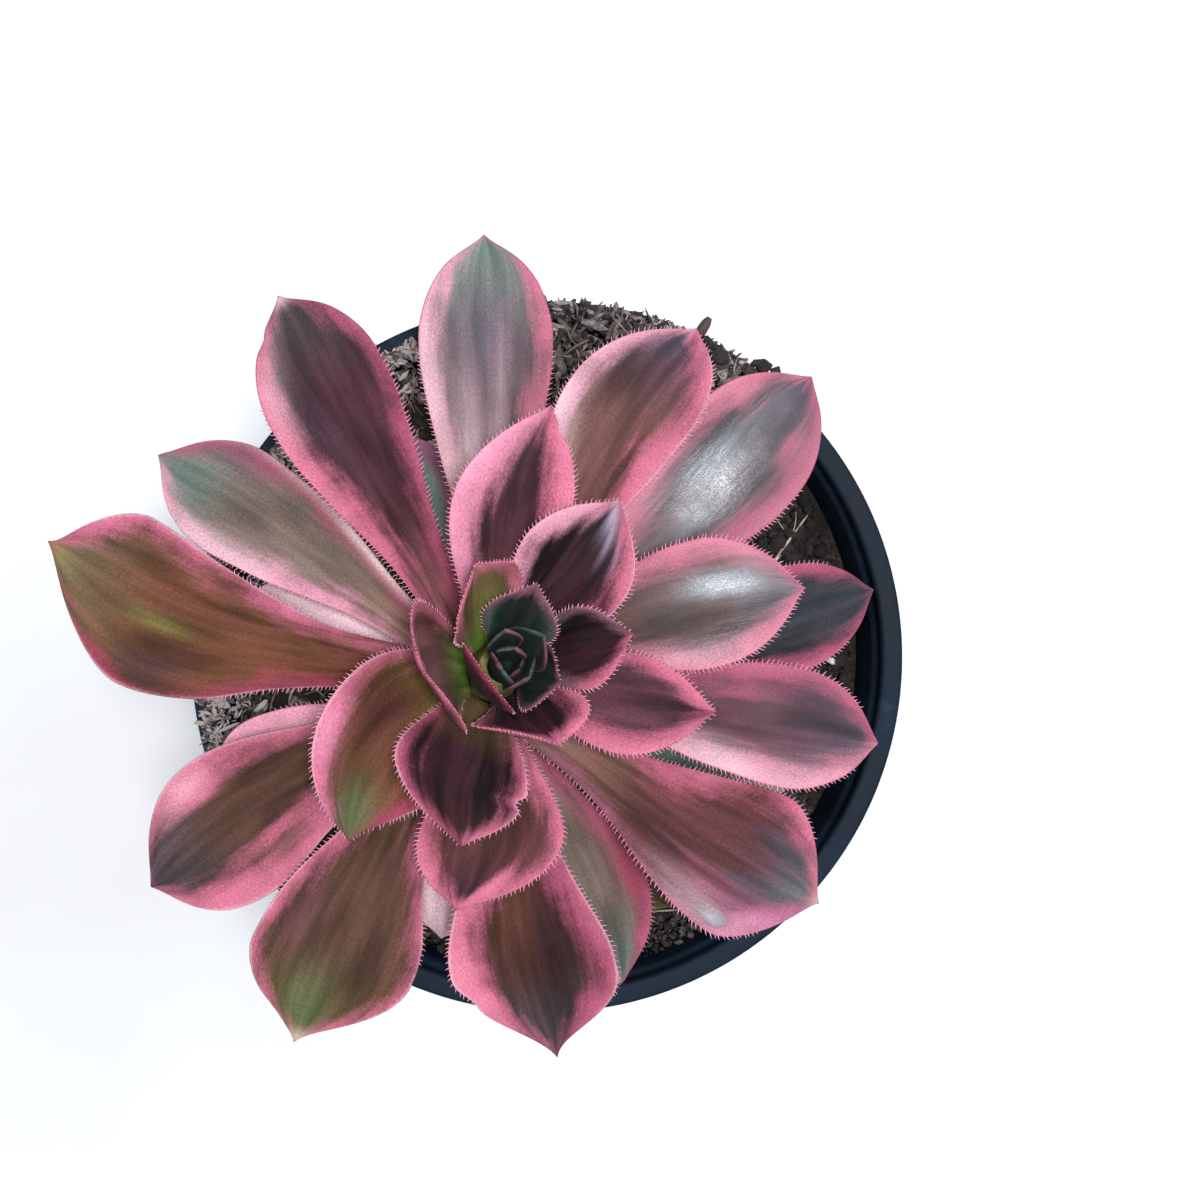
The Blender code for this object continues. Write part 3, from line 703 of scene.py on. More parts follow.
# Habits of growth: width of the foot, where the leaf is widest, how soon it opens, how it closes, its point
BROAD = (0.32, 0.74, 3.2, 2.2, 0.85)
SPOON = (0.31, 0.78, 4.5, 1.7, 1.05)
ROUND = (0.42, 0.56, 1.3, 1.95, 1.0)
MIDDLE = (0.36, 0.68, 2.4, 2.0, 0.95)
YOUNG = (0.42, 0.60, 2.0, 1.9, 1.0)
HEART = (0.50, 0.48, 1.2, 1.7, 1.0)

# Height on the stem, azimuth, turn, length, width, rise at the base, rise at the tip, hook, roll, habit
LEAVES = (
    (10.4, 312, 0, 49, 18.0, 8, -2, 0.0, 0, BROAD),
    (11.4, 50, 0, 47, 15.0, 21, 8, 0.0, 0, BROAD),
    (12.4, 263, 0, 40, 15.0, 2, -10, 0.0, 0, BROAD),
    (13.4, 341, 0, 55, 18.0, 9, 0, 0.0, 0, BROAD),
    (14.4, 156, 0, 36, 16.0, 4, -8, 0.0, 0, BROAD),
    (15.4, 107, 0, 42, 15.0, 6, -6, 0.0, 0, BROAD),
    (16.3, 199, 0, 43, 14.0, 6, -8, 0.0, 0, BROAD),
    (17.0, 303, -5, 54, 17.0, 10, -10, -0.63, 0, BROAD),
    (18.0, 8, 6, 68, 19.5, 18, 4, 0.25, 0, BROAD),
    (18.8, 209, 3, 60, 26.0, 14, -5, 0.14, 0, BROAD),
    (19.6, 144, 4, 62, 20.0, 16, -6, 0.0, 0, BROAD),
    (21.2, 89, 6, 73, 24.0, 20, -2, -0.14, 0, BROAD),
    (21.6, 235, 18, 63, 28.0, 17, -5, -0.13, 0, SPOON),
    (23.4, 175, -9, 71, 27.5, 21, -2, -0.66, 0, SPOON),
    (24.2, 320, 5, 65, 27.5, 23, -4, 0.24, 0, SPOON),
    (25.0, 37, 13, 72, 24.0, 24, 11, 0.0, 0, BROAD),
    (26.0, 122, 4, 68, 22.5, 28, 0, -0.34, 0, BROAD),
    (27.0, 278, -8, 59, 28.5, 20, -5, 0.39, 0, SPOON),
    (28.0, 348, 2, 63, 21.0, 30, 2, 0.0, 0, BROAD),
    (29.0, 65.5, 1, 64, 22.5, 34, 4, -0.59, 0, BROAD),
    (29.8, 270, -7, 36, 24.0, 36, -11, -0.40, 0, MIDDLE),
    (31.5, 198, 63, 38, 25.0, 47, -10, 0.10, -16, ROUND),
    (31.8, 22, -16, 51, 22.0, 38, 8, 0.0, 0, MIDDLE),
    (33.3, 90, -7, 43, 20.5, 44, 12, -0.45, 0, YOUNG),
    (34.0, 247, 5, 27, 23.0, 46, -4, 0.35, 0, YOUNG),
    (35.0, 339, 18, 35, 17.0, 46, 16, 0.0, 0, YOUNG),
    (36.1, 54, 4, 32.5, 20.0, 47, 15, 0.0, 0, YOUNG),
    (37.0, 178, 36, 23, 22.5, 46, 82, 0.0, 0, YOUNG),
    (38.0, 303, -35, 14, 20.0, 50, 46, 0.35, 0, YOUNG),
    (39.0, 111, 0, 20, 17.0, 56, 50, 0.0, 30, YOUNG),
    (39.6, 13, 0, 22, 14.0, 56, 34, 0.0, 0, YOUNG),
    (42.2, 72, 0, 14.5, 13.0, 60, 40, 0.0, 0, HEART),
    (42.2, 216, 0, 13, 14.0, 76, 98, 0.0, 0, YOUNG),
    (43.0, 340, 0, 9.2, 12.0, 62, 54, 0.0, 0, HEART),
)

# Pigments of the leaf: greens and browns in the middle, roses and cream along the edges, and a cool grey
# and a lilac that are painted highlights and glints on the wax
PIGMENTS = {
    "cream": "#c4b39a",
    "tan": "#866c58",
    "sage": "#84876f",
    "olive": "#5a4a2c",
    "bronze": "#653f2b",
    "chestnut": "#583331",
    "umber": "#543b2e",
    "dark brown": "#38201b",
    "wine": "#43262c",
    "plum": "#2f1d26",
    "black plum": "#1b0f13",
    "slate": "#57525c",
    "dusk": "#6b5659",
    "clay": "#75665c",
    "gold": "#7d6a34",
    "night plum": "#3a2f3c",
    "charcoal": "#403b3d",
    "ruddy plum": "#5a3743",
    "night slate": "#33383d",
    "grey green": "#687a70",
    "green": "#51623f",
    "lime": "#9aa457",
    "axil": "#5a7a2c",
    "heart green": "#13231c",
    "sea green": "#3f5f55",
    "ivory": "#f3e2d6",
    "russet": "#684540",
    "pale": "#edc6cd",
    "blossom": "#e199ad",
    "shell": "#e08ba4",
    "rose": "#ca6c84",
    "cerise": "#b05570",
    "crimson": "#a9445c",
    "dusty": "#8b5a6b",
    "mallow": "#a85f7c",
    "smoke plum": "#453b48",
    "painted highlight": "#9fb2ba",
    "painted glint": "#b5a4b6",
    "khaki": "#64573f",
    "mauve": "#8f5570",
}

# Look of each leaf: colours of the middle at base, half way and tip, then the colour and the width of the
# left and the right edge as shares of half the leaf, seen from the stem, and where along it the hairs end
LOOKS = (
    ("sage", "sage", "olive", "sage", 0.06, "sage", 0.06, 0.7),
    ("sage", "slate", "slate", "mauve", 0.25, "mauve", 0.25, 0.8),
    ("cream", "pale", "pale", "pale", 0.40, "pale", 0.40, 0.7),
    ("sage", "grey green", "sage", "sage", 0.08, "mauve", 0.12, 0.7),
    ("cream", "pale", "pale", "pale", 0.45, "pale", 0.40, 0.7),
    ("sage", "grey green", "grey green", "pale", 0.12, "mauve", 0.45, 0.8),
    ("cream", "pale", "pale", "pale", 0.40, "blossom", 0.60, 0.7),
    ("tan", "clay", "grey green", "cerise", 0.36, "blossom", 0.14, 0.95),
    ("sage", "night slate", "night slate", "cerise", 0.20, "cerise", 0.32, 0.9),
    ("olive", "umber", "charcoal", "rose", 0.47, "rose", 0.22, 0.4),
    ("tan", "clay", "grey green", "blossom", 0.30, "cerise", 0.24, 0.72),
    ("tan", "dusk", "grey green", "blossom", 0.24, "rose", 0.26, 0.72),
    ("olive", "umber", "olive", "rose", 0.16, "rose", 0.18, 0.72),
    ("bronze", "bronze", "khaki", "crimson", 0.11, "rose", 0.19, 0.60),
    ("tan", "chestnut", "slate", "rose", 0.20, "mallow", 0.06, 0.9),
    ("wine", "plum", "smoke plum", "rose", 0.34, "cerise", 0.34, 0.8),
    ("russet", "wine", "charcoal", "rose", 0.34, "cerise", 0.21, 0.8),
    ("umber", "dark brown", "charcoal", "cerise", 0.28, "rose", 0.34, 0.85),
    ("chestnut", "ruddy plum", "smoke plum", "cerise", 0.30, "rose", 0.38, 0.95),
    ("dark brown", "russet", "smoke plum", "blossom", 0.28, "rose", 0.34, 1.0),
    ("olive", "chestnut", "plum", "rose", 0.30, "rose", 0.28, 1.0),
    ("gold", "bronze", "olive", "crimson", 0.15, "rose", 0.24, 1.0),
    ("chestnut", "dark brown", "slate", "rose", 0.26, "rose", 0.32, 1.0),
    ("bronze", "wine", "plum", "shell", 0.52, "rose", 0.42, 1.0),
    ("olive", "black plum", "dark brown", "rose", 0.22, "cerise", 0.26, 1.0),
    ("chestnut", "ruddy plum", "plum", "rose", 0.30, "rose", 0.38, 1.0),
    ("black plum", "black plum", "plum", "blossom", 0.38, "rose", 0.28, 1.0),
    ("axil", "russet", "chestnut", "rose", 0.16, "rose", 0.18, 1.0),
    ("heart green", "black plum", "black plum", "rose", 0.30, "rose", 0.22, 1.0),
    ("axil", "olive", "olive", "rose", 0.18, "rose", 0.26, 1.0),
    ("heart green", "black plum", "black plum", "dusty", 0.22, "rose", 0.20, 1.0),
    ("heart green", "heart green", "black plum", "dusty", 0.20, "dusty", 0.18, 1.0),
    ("axil", "wine", "wine", "crimson", 0.07, "crimson", 0.07, 1.0),
    ("heart green", "heart green", "heart green", "dusty", 0.08, "dusty", 0.08, 1.0),
)
# Leaves whose dark middle runs out to the tip, with no rose left beside it
DARK_TIPS = {9, 10, 11, 12, 13, 14, 15, 16, 17, 18, 22}
# Leaves with a pale downy line along the rim, where the others have a thin crimson one
DOWNY_EDGES = {10, 11, 13, 14, 18, 20, 22, 25, 27}

# Blotches: leaf number, share of the length, place across from -1 (right edge) to 1 (left edge), length and
# width in mm, pigment or how much further in the rose runs, and strength
BLOTCHES = (
    (8, 0.70, 0.75, 6.0, 2.5, "crimson", 0.8),
    # Painted sheen: the pale patch on the right edge of leaf 10.
    (10, 0.80, -0.76, 4.5, 2.6, "pale", 0.3),
    (10, 0.76, -0.66, 6.0, 3.0, 1.5, 1.0),
    (10, 0.66, 0.34, 8.0, 1.4, 1.0, 1.0),
    (10, 0.60, 0.64, 4.5, 2.0, -0.7, 1.0),
    (10, 0.60, 0.68, 5.0, 2.4, "clay", 0.4),
    (11, 0.92, 0.10, 7.0, 4.5, "grey green", 0.5),
    (11, 0.80, -0.80, 6.0, 3.0, "mauve", 0.5),
    (11, 0.72, 0.85, 10.0, 2.4, "pale", 0.7),
    (11, 0.44, -1.00, 15.0, 1.2, "ivory", 1.0),
    (11, 0.42, -1.00, 16.0, 1.3, 2.5, 1.0),
    (12, 0.93, 0.0, 8.0, 4.5, "grey green", 0.6),
    (12, 0.76, 0.0, 9.0, 6.0, "slate", 0.85),
    # Painted sheen: the two long pale streaks on the middle of leaf 12.
    (12, 0.45, 0.30, 16.0, 1.8, "pale", 0.35),
    (12, 0.50, -0.20, 18.0, 1.2, "pale", 0.30),
    (12, 0.62, 0.90, 14.0, 2.2, "pale", 0.6),
    (12, 0.30, 0.90, 12.0, 3.0, "cream", 0.5),
    (13, 0.72, -0.64, 4.5, 2.6, -0.8, 1.0),
    (13, 0.72, -0.60, 5.0, 3.0, "ruddy plum", 0.5),
    (13, 0.90, -0.15, 6.0, 4.0, "green", 0.8),
    (13, 0.99, 0.0, 1.6, 2.0, "cream", 0.9),
    (14, 0.72, 0.12, 5.0, 1.3, "lime", 0.34),
    (14, 0.97, 0.10, 3.0, 1.6, "lime", 0.35),
    (14, 0.72, 0.72, 5.0, 3.2, "night plum", 0.5),
    (14, 0.72, 0.80, 4.0, 3.0, -1.0, 1.0),
    (15, 0.72, -0.10, 13.0, 0.6, 1.2, 1.0),
    (15, 0.74, 0.25, 12.0, 0.5, 1.1, 1.0),
    (15, 0.68, -0.45, 10.0, 0.8, 1.2, 1.0),
    (15, 0.84, -0.80, 7.0, 4.0, 2.6, 1.0),
    (15, 0.70, -0.28, 9.0, 0.35, "mallow", 0.32),
    (15, 0.80, 0.08, 7.0, 0.3, "mallow", 0.3),
    (15, 0.66, 0.38, 7.0, 0.3, "mallow", 0.3),
    (15, 0.84, 0.30, 5.0, 0.3, "mallow", 0.3),
    (15, 0.78, -0.50, 8.0, 1.6, "mallow", 0.45),
    (15, 0.80, -0.20, 6.0, 1.0, "slate", 0.5),
    (15, 0.82, 0.45, 5.0, 1.2, "slate", 0.5),
    # Painted highlight: a shining blister on leaf 15.
    (15, 0.77, -0.80, 2.6, 1.3, "painted highlight", 0.9),
    (15, 0.77, -0.80, 2.4, 1.2, -4.0, 1.0),
    # Painted sheen: the pale patch on the right edge of leaf 15.
    (15, 0.70, -0.80, 8.0, 3.0, "pale", 0.35),
    (15, 0.96, 0.0, 6.0, 4.0, "grey green", 0.4),
    (15, 0.995, 0.0, 1.4, 2.0, "cream", 0.9),
    (16, 0.84, 0.30, 7.0, 0.7, 0.6, 1.0),
    (16, 0.36, 0.0, 12.0, 6.0, "chestnut", 0.7),
    # Painted highlights: two grey patches on the middle of leaf 16.
    (16, 0.68, 0.22, 8.0, 2.6, "painted highlight", 0.28),
    (16, 0.56, -0.20, 7.0, 1.4, "painted highlight", 0.22),
    (16, 0.82, -0.45, 5.0, 2.6, 0.9, 1.0),
    (17, 0.72, -0.55, 5.0, 2.0, -1.2, 1.0),
    (17, 0.66, 0.30, 9.0, 2.4, "night plum", 0.5),
    (17, 0.80, 0.75, 8.0, 2.4, "pale", 0.35),
    (17, 0.995, 0.0, 1.4, 2.0, "pale", 0.8),
    (18, 0.52, -0.15, 13.0, 4.0, "bronze", 0.5),
    (18, 0.76, 0.25, 8.0, 3.0, "black plum", 0.7),
    (18, 0.80, -0.78, 6.0, 3.0, 1.2, 1.0),
    (19, 0.80, 0.16, 9.0, 1.8, "black plum", 0.8),
    (19, 0.66, 0.40, 9.0, 1.4, 1.0, 1.0),
    # Painted sheen: the pale patches on the right edge of leaf 19.
    (19, 0.56, -0.80, 8.0, 2.6, "pale", 0.75),
    (19, 0.78, -0.85, 10.0, 3.0, "pale", 0.35),
    (20, 0.76, 0.05, 11.0, 0.7, 0.9, 1.0),
    (20, 0.70, -0.30, 9.0, 0.6, 0.7, 1.0),
    # Painted sheen: the cream and pale patches on the left of leaf 20.
    (20, 0.56, 0.70, 6.0, 2.6, "cream", 0.35),
    (20, 0.58, 0.92, 12.0, 2.6, "pale", 0.7),
    (21, 0.86, 0.42, 4.0, 1.5, 1.5, 1.0),
    (21, 0.66, 0.62, 4.5, 2.4, -1.0, 1.0),
    (21, 0.62, 0.30, 5.0, 4.0, "dark brown", 0.6),
    (22, 0.88, -0.02, 6.0, 3.4, "green", 0.8),
    (22, 0.90, 0.0, 4.0, 3.0, -0.7, 1.0),
    (22, 0.46, -0.34, 6.0, 3.6, "dark brown", 0.8),
    (22, 0.66, -0.80, 4.0, 2.4, "shell", 0.7),
    (22, 0.66, -0.80, 4.0, 2.4, 1.0, 1.0),
    (23, 0.42, 0.40, 8.0, 3.4, "russet", 0.7),
    (23, 0.62, -0.75, 10.0, 2.4, "pale", 0.4),
    # Painted highlight: a grey patch on the middle of leaf 23.
    (23, 0.72, 0.24, 5.0, 1.7, "painted highlight", 0.55),
    (24, 0.78, 0.0, 9.0, 2.2, "plum", 0.6),
    (26, 0.70, 0.10, 9.0, 1.8, "black plum", 0.7),
    # Painted glints: thin pale streaks near the tip of leaf 27.
    (27, 0.84, -0.30, 4.5, 0.5, "painted glint", 0.6),
    (27, 0.91, -0.20, 3.0, 0.8, "painted glint", 0.6),
    (27, 0.88, -0.05, 3.5, 0.4, "painted glint", 0.5),
    (27, 0.78, -0.55, 3.5, 0.4, "painted glint", 0.5),
    (30, 0.45, 0.00, 5.0, 3.0, "axil", 0.6),
    (31, 0.30, 0.90, 4.0, 1.5, "sea green", 0.8),
    (31, 0.30, -0.90, 4.0, 1.5, "sea green", 0.8),
    (32, 0.35, 0.90, 4.0, 1.5, "sea green", 0.7),
    (32, 0.35, -0.90, 4.0, 1.5, "sea green", 0.7),
)

# The blotches of these pigments tint the rose edge as well as the middle
PALE_BLOTCHES = {"pale", "cream", "ivory", "shell", "crimson", "mauve", "sea green"}

# Where the velvet has worn off the wax: leaf number, share of the length, place across, length and width in
# mm, and strength
WORN = (
    (12, 0.45, 0.40, 18.0, 4.0, 0.8),
    (16, 0.66, 0.10, 14.0, 6.5, 1.0),
    (19, 0.50, -0.75, 9.0, 3.0, 0.9),
    (20, 0.60, 0.60, 9.0, 3.0, 0.7),
    (20, 0.76, 0.00, 12.0, 6.0, 0.25),
    (23, 0.72, 0.28, 10.0, 3.4, 1.0),
    (23, 0.66, -0.60, 8.0, 2.6, 0.8),
    (27, 0.84, -0.30, 6.0, 2.0, 0.8),
)

# Nicks and swells of the edge: leaf number, side, share of the length, length and depth in mm
NICKS = (
    (17, 1, 0.925, 1.0, 0.8),
    (18, -1, 0.83, 1.6, 1.1),
    (24, -1, 0.90, 1.0, 0.9),
    (25, 1, 0.66, 0.8, 1.6),
    (13, -1, 0.93, 1.6, 0.5),
    (10, 1, 0.55, 5.0, 0.5),
    (11, -1, 0.42, 14.0, -1.1),
)

# The first of the young leaves, whose backs are as dark as their fronts
FIRST_YOUNG = 28

# The edge hairs, in mm: how far apart, how long, their radius at the root and further out, and how deep the
# root sits in the leaf
HAIR_SPACING = (0.55, 1.05)
HAIR_LENGTH = (0.55, 0.95)
HAIR_RADIUS = 0.15
HAIR_NECK = 0.08
HAIR_ROOT = 0.25

# One unit of the vein map, and the size of the soft clouds in the skin, in mm
VEIN_MAP = 100.0
SKIN_CLOUD = 5.882


def ease(low, high, value):
    """A smooth step from 0 to 1 as the value goes from low to high."""
    share = np.clip((value - low) / (high - low), 0.0, 1.0)
    return share * share * (3 - 2 * share)


def blade_width(shares, width, habit):
    """Half the width along the leaf: a narrow foot, a broad spoon and a closing tip."""
    foot, widest, rise, close, point = habit
    opening = foot + (1 - foot) * np.sin(np.pi / 2 * np.clip(shares / widest, 0, 1)) ** rise
    beyond = np.clip((shares - widest) / (1 - widest), 0, 1)
    return width / 2 * np.where(shares < widest, opening, (1 - beyond**close) ** point)


def midrib(leaf, start, shares):
    """Places, directions and sideways directions along the midrib."""
    height, azimuth, turn, length, width, rise_foot, rise_tip, hook = leaf[:8]
    steps = 240

    def heading(along):
        pitch = np.radians(rise_foot + (rise_tip - rise_foot) * along)
        angle = np.radians(azimuth + turn * along)
        ahead = np.stack([np.cos(pitch) * np.cos(angle), np.cos(pitch) * np.sin(angle), np.sin(pitch)], 1)
        return ahead, np.stack([-np.sin(angle), np.cos(angle), np.zeros_like(angle)], 1)

    ahead, _ = heading((np.arange(steps) + 0.5) / steps)
    foot = np.array([[*turned(start, math.radians(azimuth)), height]])
    line = np.vstack([foot, foot + np.cumsum(ahead, 0) * length / steps])
    even = np.linspace(0, 1, steps + 1)
    places = np.stack([np.interp(shares, even, line[:, axis]) for axis in range(3)], 1)
    ahead, across = heading(shares)
    late = np.clip((shares - 0.5) / 0.5, 0, 1)[:, None]
    return places + across * hook * width / 2 * late**2, ahead, across


def clear_of_stem(points):
    """Moves points out to the stem's skin, plus the gap, so that a leaf base clasps the stem."""
    reach = np.hypot(points[:, 0], points[:, 1])
    least = stem_radius(points[:, 2]) + GAP
    push = np.where((reach < least) & (points[:, 2] <= STEM_TOP), least / np.maximum(reach, 1e-6), 1.0)
    return np.stack([points[:, 0] * push, points[:, 1] * push, points[:, 2]], 1)


def waver(seed, rows, columns):
    """Soft noise, with a row for each place along a leaf and a column for each place across it."""
    return np.array([[noise.noise(Vector((row, column, seed))) for column in columns] for row in rows])


def blade_form(number, leaf, start, flesh, nib, cup):
    """The skin of one leaf, a cupped plate that is thick along the middle, and what its hairs stand on."""
    length, width = leaf[3:5]
    roll, habit = leaf[8:]
    rows = max(20, int(length / ROW_STEP))
    columns = max(14, 2 * int(width / COLUMN_STEP))
    even = np.linspace(0, 1, rows + 1)
    shares = 0.7 * even + 0.3 * np.sin(np.pi / 2 * even)
    level = np.linspace(-1, 1, columns + 1)
    u = 0.6 * np.sin(np.pi / 2 * level) + 0.4 * level
    places, ahead, across = midrib(leaf, start, shares)
    up = np.cross(ahead, across)
    twist = np.radians(roll) * np.minimum(1, shares * 1.6)[:, None]
    over = across * np.cos(twist) + up * np.sin(twist)
    up = up * np.cos(twist) - across * np.sin(twist)
    to_tip = (1 - shares) * length

    # The outline of the two sides, with their slow wave and their nicks
    half = blade_width(shares, width, habit) * (1 - nib[0] * np.exp(-((to_tip / nib[1]) ** 1.5)))
    wave = waver(number * 3.1, shares * length / 9.0, (7.0, -7.0))
    sides = []
    for place, side in enumerate((1, -1)):
        edge = half * (1 + 0.035 * wave[:, place] * ease(0.1, 0.4, shares))
        for leaf_number, nick_side, at, long, deep in NICKS:
            if (leaf_number, nick_side) == (number, side):
                edge = edge - deep * np.exp(-(((shares - at) * length / long) ** 2))
        sides.append(np.maximum(edge, 0.0))
    half_at = np.where(u[None, :] > 0, sides[0][:, None], sides[1][:, None])

    # The cup with its ripples, and the flesh
    aside = half_at * np.sin(cup * u) / cup
    lift = half_at * (1 - np.cos(cup * u)) / cup
    ripple = 0.55 * waver(number * 5.3, shares * length / 11.0, 1.6 * u) * (0.25 + 0.75 * u**2)
    lift = lift + ripple * ease(0.15, 0.5, shares)[:, None] * min(1.0, width / 22)
    close = np.minimum(1, half / (0.12 * width))
    middle = np.maximum(0, flesh * (1.1 - 0.6 * shares**1.5) - BLADE_EDGE) * close
    thick = BLADE_EDGE * np.sqrt(1 - np.abs(u) ** 9) + middle[:, None] * (1 - u**2)
    thick = thick * np.sqrt(np.clip(to_tip / 0.6, 0, 1))[:, None]
    spine = places[:, None, :] + over[:, None, :] * aside[..., None] + up[:, None, :] * lift[..., None]
    upper = spine + up[:, None, :] * thick[..., None] / 2
    lower = spine - up[:, None, :] * thick[..., None] / 2

    # One closed skin: the upper and the lower face share their edges and the tip
    points = [upper[:rows].reshape(-1, 3), lower[:rows, 1:-1].reshape(-1, 3), upper[rows:, columns // 2]]
    span = columns + 1
    first_low = rows * span
    tip = first_low + rows * (columns - 1)

    def low(row, column):
        if column in (0, columns):
            return row * span + column
        return first_low + row * (columns - 1) + column - 1

    faces = []
    for row in range(rows - 1):
        for column in range(columns):
            corner = row * span + column
            faces.append((corner, corner + span, corner + span + 1, corner + 1))
            back = (low(row + 1, column + 1), low(row + 1, column))
            faces.append((low(row, column), low(row, column + 1), *back))
    last = (rows - 1) * span
    for column in range(columns):
        faces.append((last + column, tip, last + column + 1))
        faces.append((low(rows - 1, column), low(rows - 1, column + 1), tip))
    faces.append(tuple(range(span)) + tuple(low(0, column) for column in range(columns - 1, 0, -1)))
    form = SimpleNamespace(points=clear_of_stem(np.vstack(points)), faces=faces)
    form.shares, form.spine, form.over, form.up = shares, spine, over, up

    # Where each point of the skin lies: along the leaf, across it, and whether on its lower face
    before_tip = shares[:rows]
    form.along = np.concatenate([np.repeat(before_tip, span), np.repeat(before_tip, columns - 1), [1.0]])
    form.across = np.concatenate([np.tile(u, rows), np.tile(u[1:-1], rows), [0.0]])
    form.below = np.concatenate([np.zeros(rows * span), np.ones(rows * (columns - 1)), [0.0]])
    form.half = np.interp(form.along, shares, half)
    return form


def blade_tints(number, leaf, look, form):
    """The pigments of the middle and the edge, the reach of the rose and the bare wax, at each point."""
    length, width = leaf[3:5]
    base, mid, end, left, left_share, right, right_share, _ = look
    along, across, half = form.along, form.across, form.half
    tint = {name: np.array(linear(code)[:3]) for name, code in PIGMENTS.items()}

    def spot(at, at_across, long, wide):
        return np.exp(-(((along - at) * length / long) ** 2 + ((across - at_across) * half / wide) ** 2))

    at_base = (1 - ease(0.10, 0.50, along))[:, None]
    at_tip = ease(0.70, 0.97, along)[:, None]
    flesh = tint[base] * at_base + tint[mid] * (1 - at_base)
    flesh = flesh * (1 - at_tip) + tint[end] * at_tip
    on_left = ease(-0.3, 0.3, across)[:, None]
    edge = tint[left] * on_left + tint[right] * (1 - on_left)

    # The rose runs in from the edge: little at the foot, and narrower at the tip
    widths = np.where(across > 0, left_share, right_share) * width / 2
    open_up = 0.40 + 0.60 * ease(0.08, 0.55, along)
    narrow = 1 - (0.95 if number in DARK_TIPS else 0.55) * ease(0.84, 1.0, along)
    rose = (widths * open_up * narrow - (1 - np.abs(across)) * half) / (0.13 * width)
    pairs = list(zip(along, across))
    patches = [noise.noise(Vector((a * length / 14.0, b * width / 7.0, number * 2.7))) for a, b in pairs]
    flesh = flesh * (1 - 0.4 * ease(-0.05, 0.5, np.array(patches)))[:, None]
    bays = [noise.noise(Vector((a * length / 9.0, 3.0 * (b > 0), number * 4.9))) for a, b in pairs]
    rose = rose + 0.6 * np.array(bays)
    for leaf_number, at, at_across, long, wide, pigment, strength in BLOTCHES:
        if leaf_number != number:
            continue
        near = spot(at, at_across, long, wide)[:, None] * strength
        if pigment in tint:
            flesh += (tint[pigment] - flesh) * near
            if pigment in PALE_BLOTCHES:
                edge += (tint[pigment] - edge) * near
        else:
            rose += near[:, 0] * pigment
    wax = np.zeros(len(along))
    for leaf_number, at, at_across, long, wide, strength in WORN:
        if leaf_number == number:
            wax += strength * spot(at, at_across, long, wide)

    # Older leaves have sage green backs, and every edge pales outwards and ends in a thin rim line
    under = form.below[:, None] * (number < FIRST_YOUNG)
    flesh = flesh * (1 - 0.6 * under) + tint["sage"] * 0.6 * under
    edge = edge * (1 - 0.3 * under) + tint["pale"] * 0.3 * under
    outward = ease(0.0, 2.4, rose)[:, None]
    edge = edge * (0.8 + 0.26 * outward)
    edge = edge * (1 - 0.1 * outward) + tint["pale"] * 0.1 * outward
    rim, strength = ("pale", 0.5) if number in DOWNY_EDGES else ("crimson", 0.3)
    rim_line = ease(0.955, 1.0, np.abs(across))[:, None] * strength
    edge = edge * (1 - rim_line) + tint[rim] * rim_line
    veins = np.stack([across * (0.55 * half + 0.225 * width), along * length], 1)
    return {"flesh": flesh, "edge": edge, "rose": rose, "wax": wax, "veins": veins}


def hair_fringe(number, length, hairs_end, form):
    """Stiff pointed hairs that stand out from both edges and lean a little towards the tip."""
    draw = random.Random(1000 + number)
    shares = form.shares
    points = []
    faces = []
    along = []
    for side in (1, -1):
        edge = form.spine[:, -1] if side == 1 else form.spine[:, 0]
        walked = np.concatenate([[0], np.cumsum(np.linalg.norm(np.diff(edge, axis=0), axis=1))])
        at = np.interp(0.10, shares, walked)
        stop = np.interp(hairs_end - 0.012, shares, walked)
        while at < stop:
            share = np.interp(at, walked, shares)
            here = np.array([np.interp(share, shares, edge[:, axis]) for axis in range(3)])
            row = min(len(shares) - 1, int(np.searchsorted(shares, share)))
            up = form.up[row]
            fade = ease(0.10, 0.22, share) * (1 - 0.5 * ease(hairs_end - 0.12, hairs_end, share))
            tall = draw.uniform(*HAIR_LENGTH) * (0.45 + 0.55 * float(fade)) * min(1.0, 0.35 + length / 50)
            trail = edge[min(row + 1, len(edge) - 1)] - edge[max(0, row - 1)]
            trail = trail / max(1e-6, np.linalg.norm(trail))
            out = np.cross(trail, up)
            out = out if np.dot(out, form.over[row]) * side > 0 else -out
            aim = out + trail * draw.uniform(0.15, 0.6) + up * draw.uniform(-0.25, 0.35)
            aim = aim / np.linalg.norm(aim)
            flat = np.cross(aim, up)
            flat = flat / np.linalg.norm(flat)
            high = np.cross(flat, aim)
            first = len(points)
            for reach, radius in ((-HAIR_ROOT, HAIR_RADIUS), (0.4 * tall, HAIR_NECK)):
                for turn_flat, turn_high in ((1, 0), (0, 1), (-1, 0), (0, -1)):
                    points.append(here + aim * reach + (flat * turn_flat + high * turn_high) * radius)
            points.append(here + aim * tall + trail * 0.12 * tall)
            along += [0.0] * 8 + [1.0]
            for corner in range(4):
                after = (corner + 1) % 4
                faces.append((first + corner, first + after, first + 4 + after, first + 4 + corner))
                faces.append((first + 4 + corner, first + 4 + after, first + 8))
            at += draw.uniform(*HAIR_SPACING)
    return np.array(points).reshape(-1, 3), faces, np.array(along)


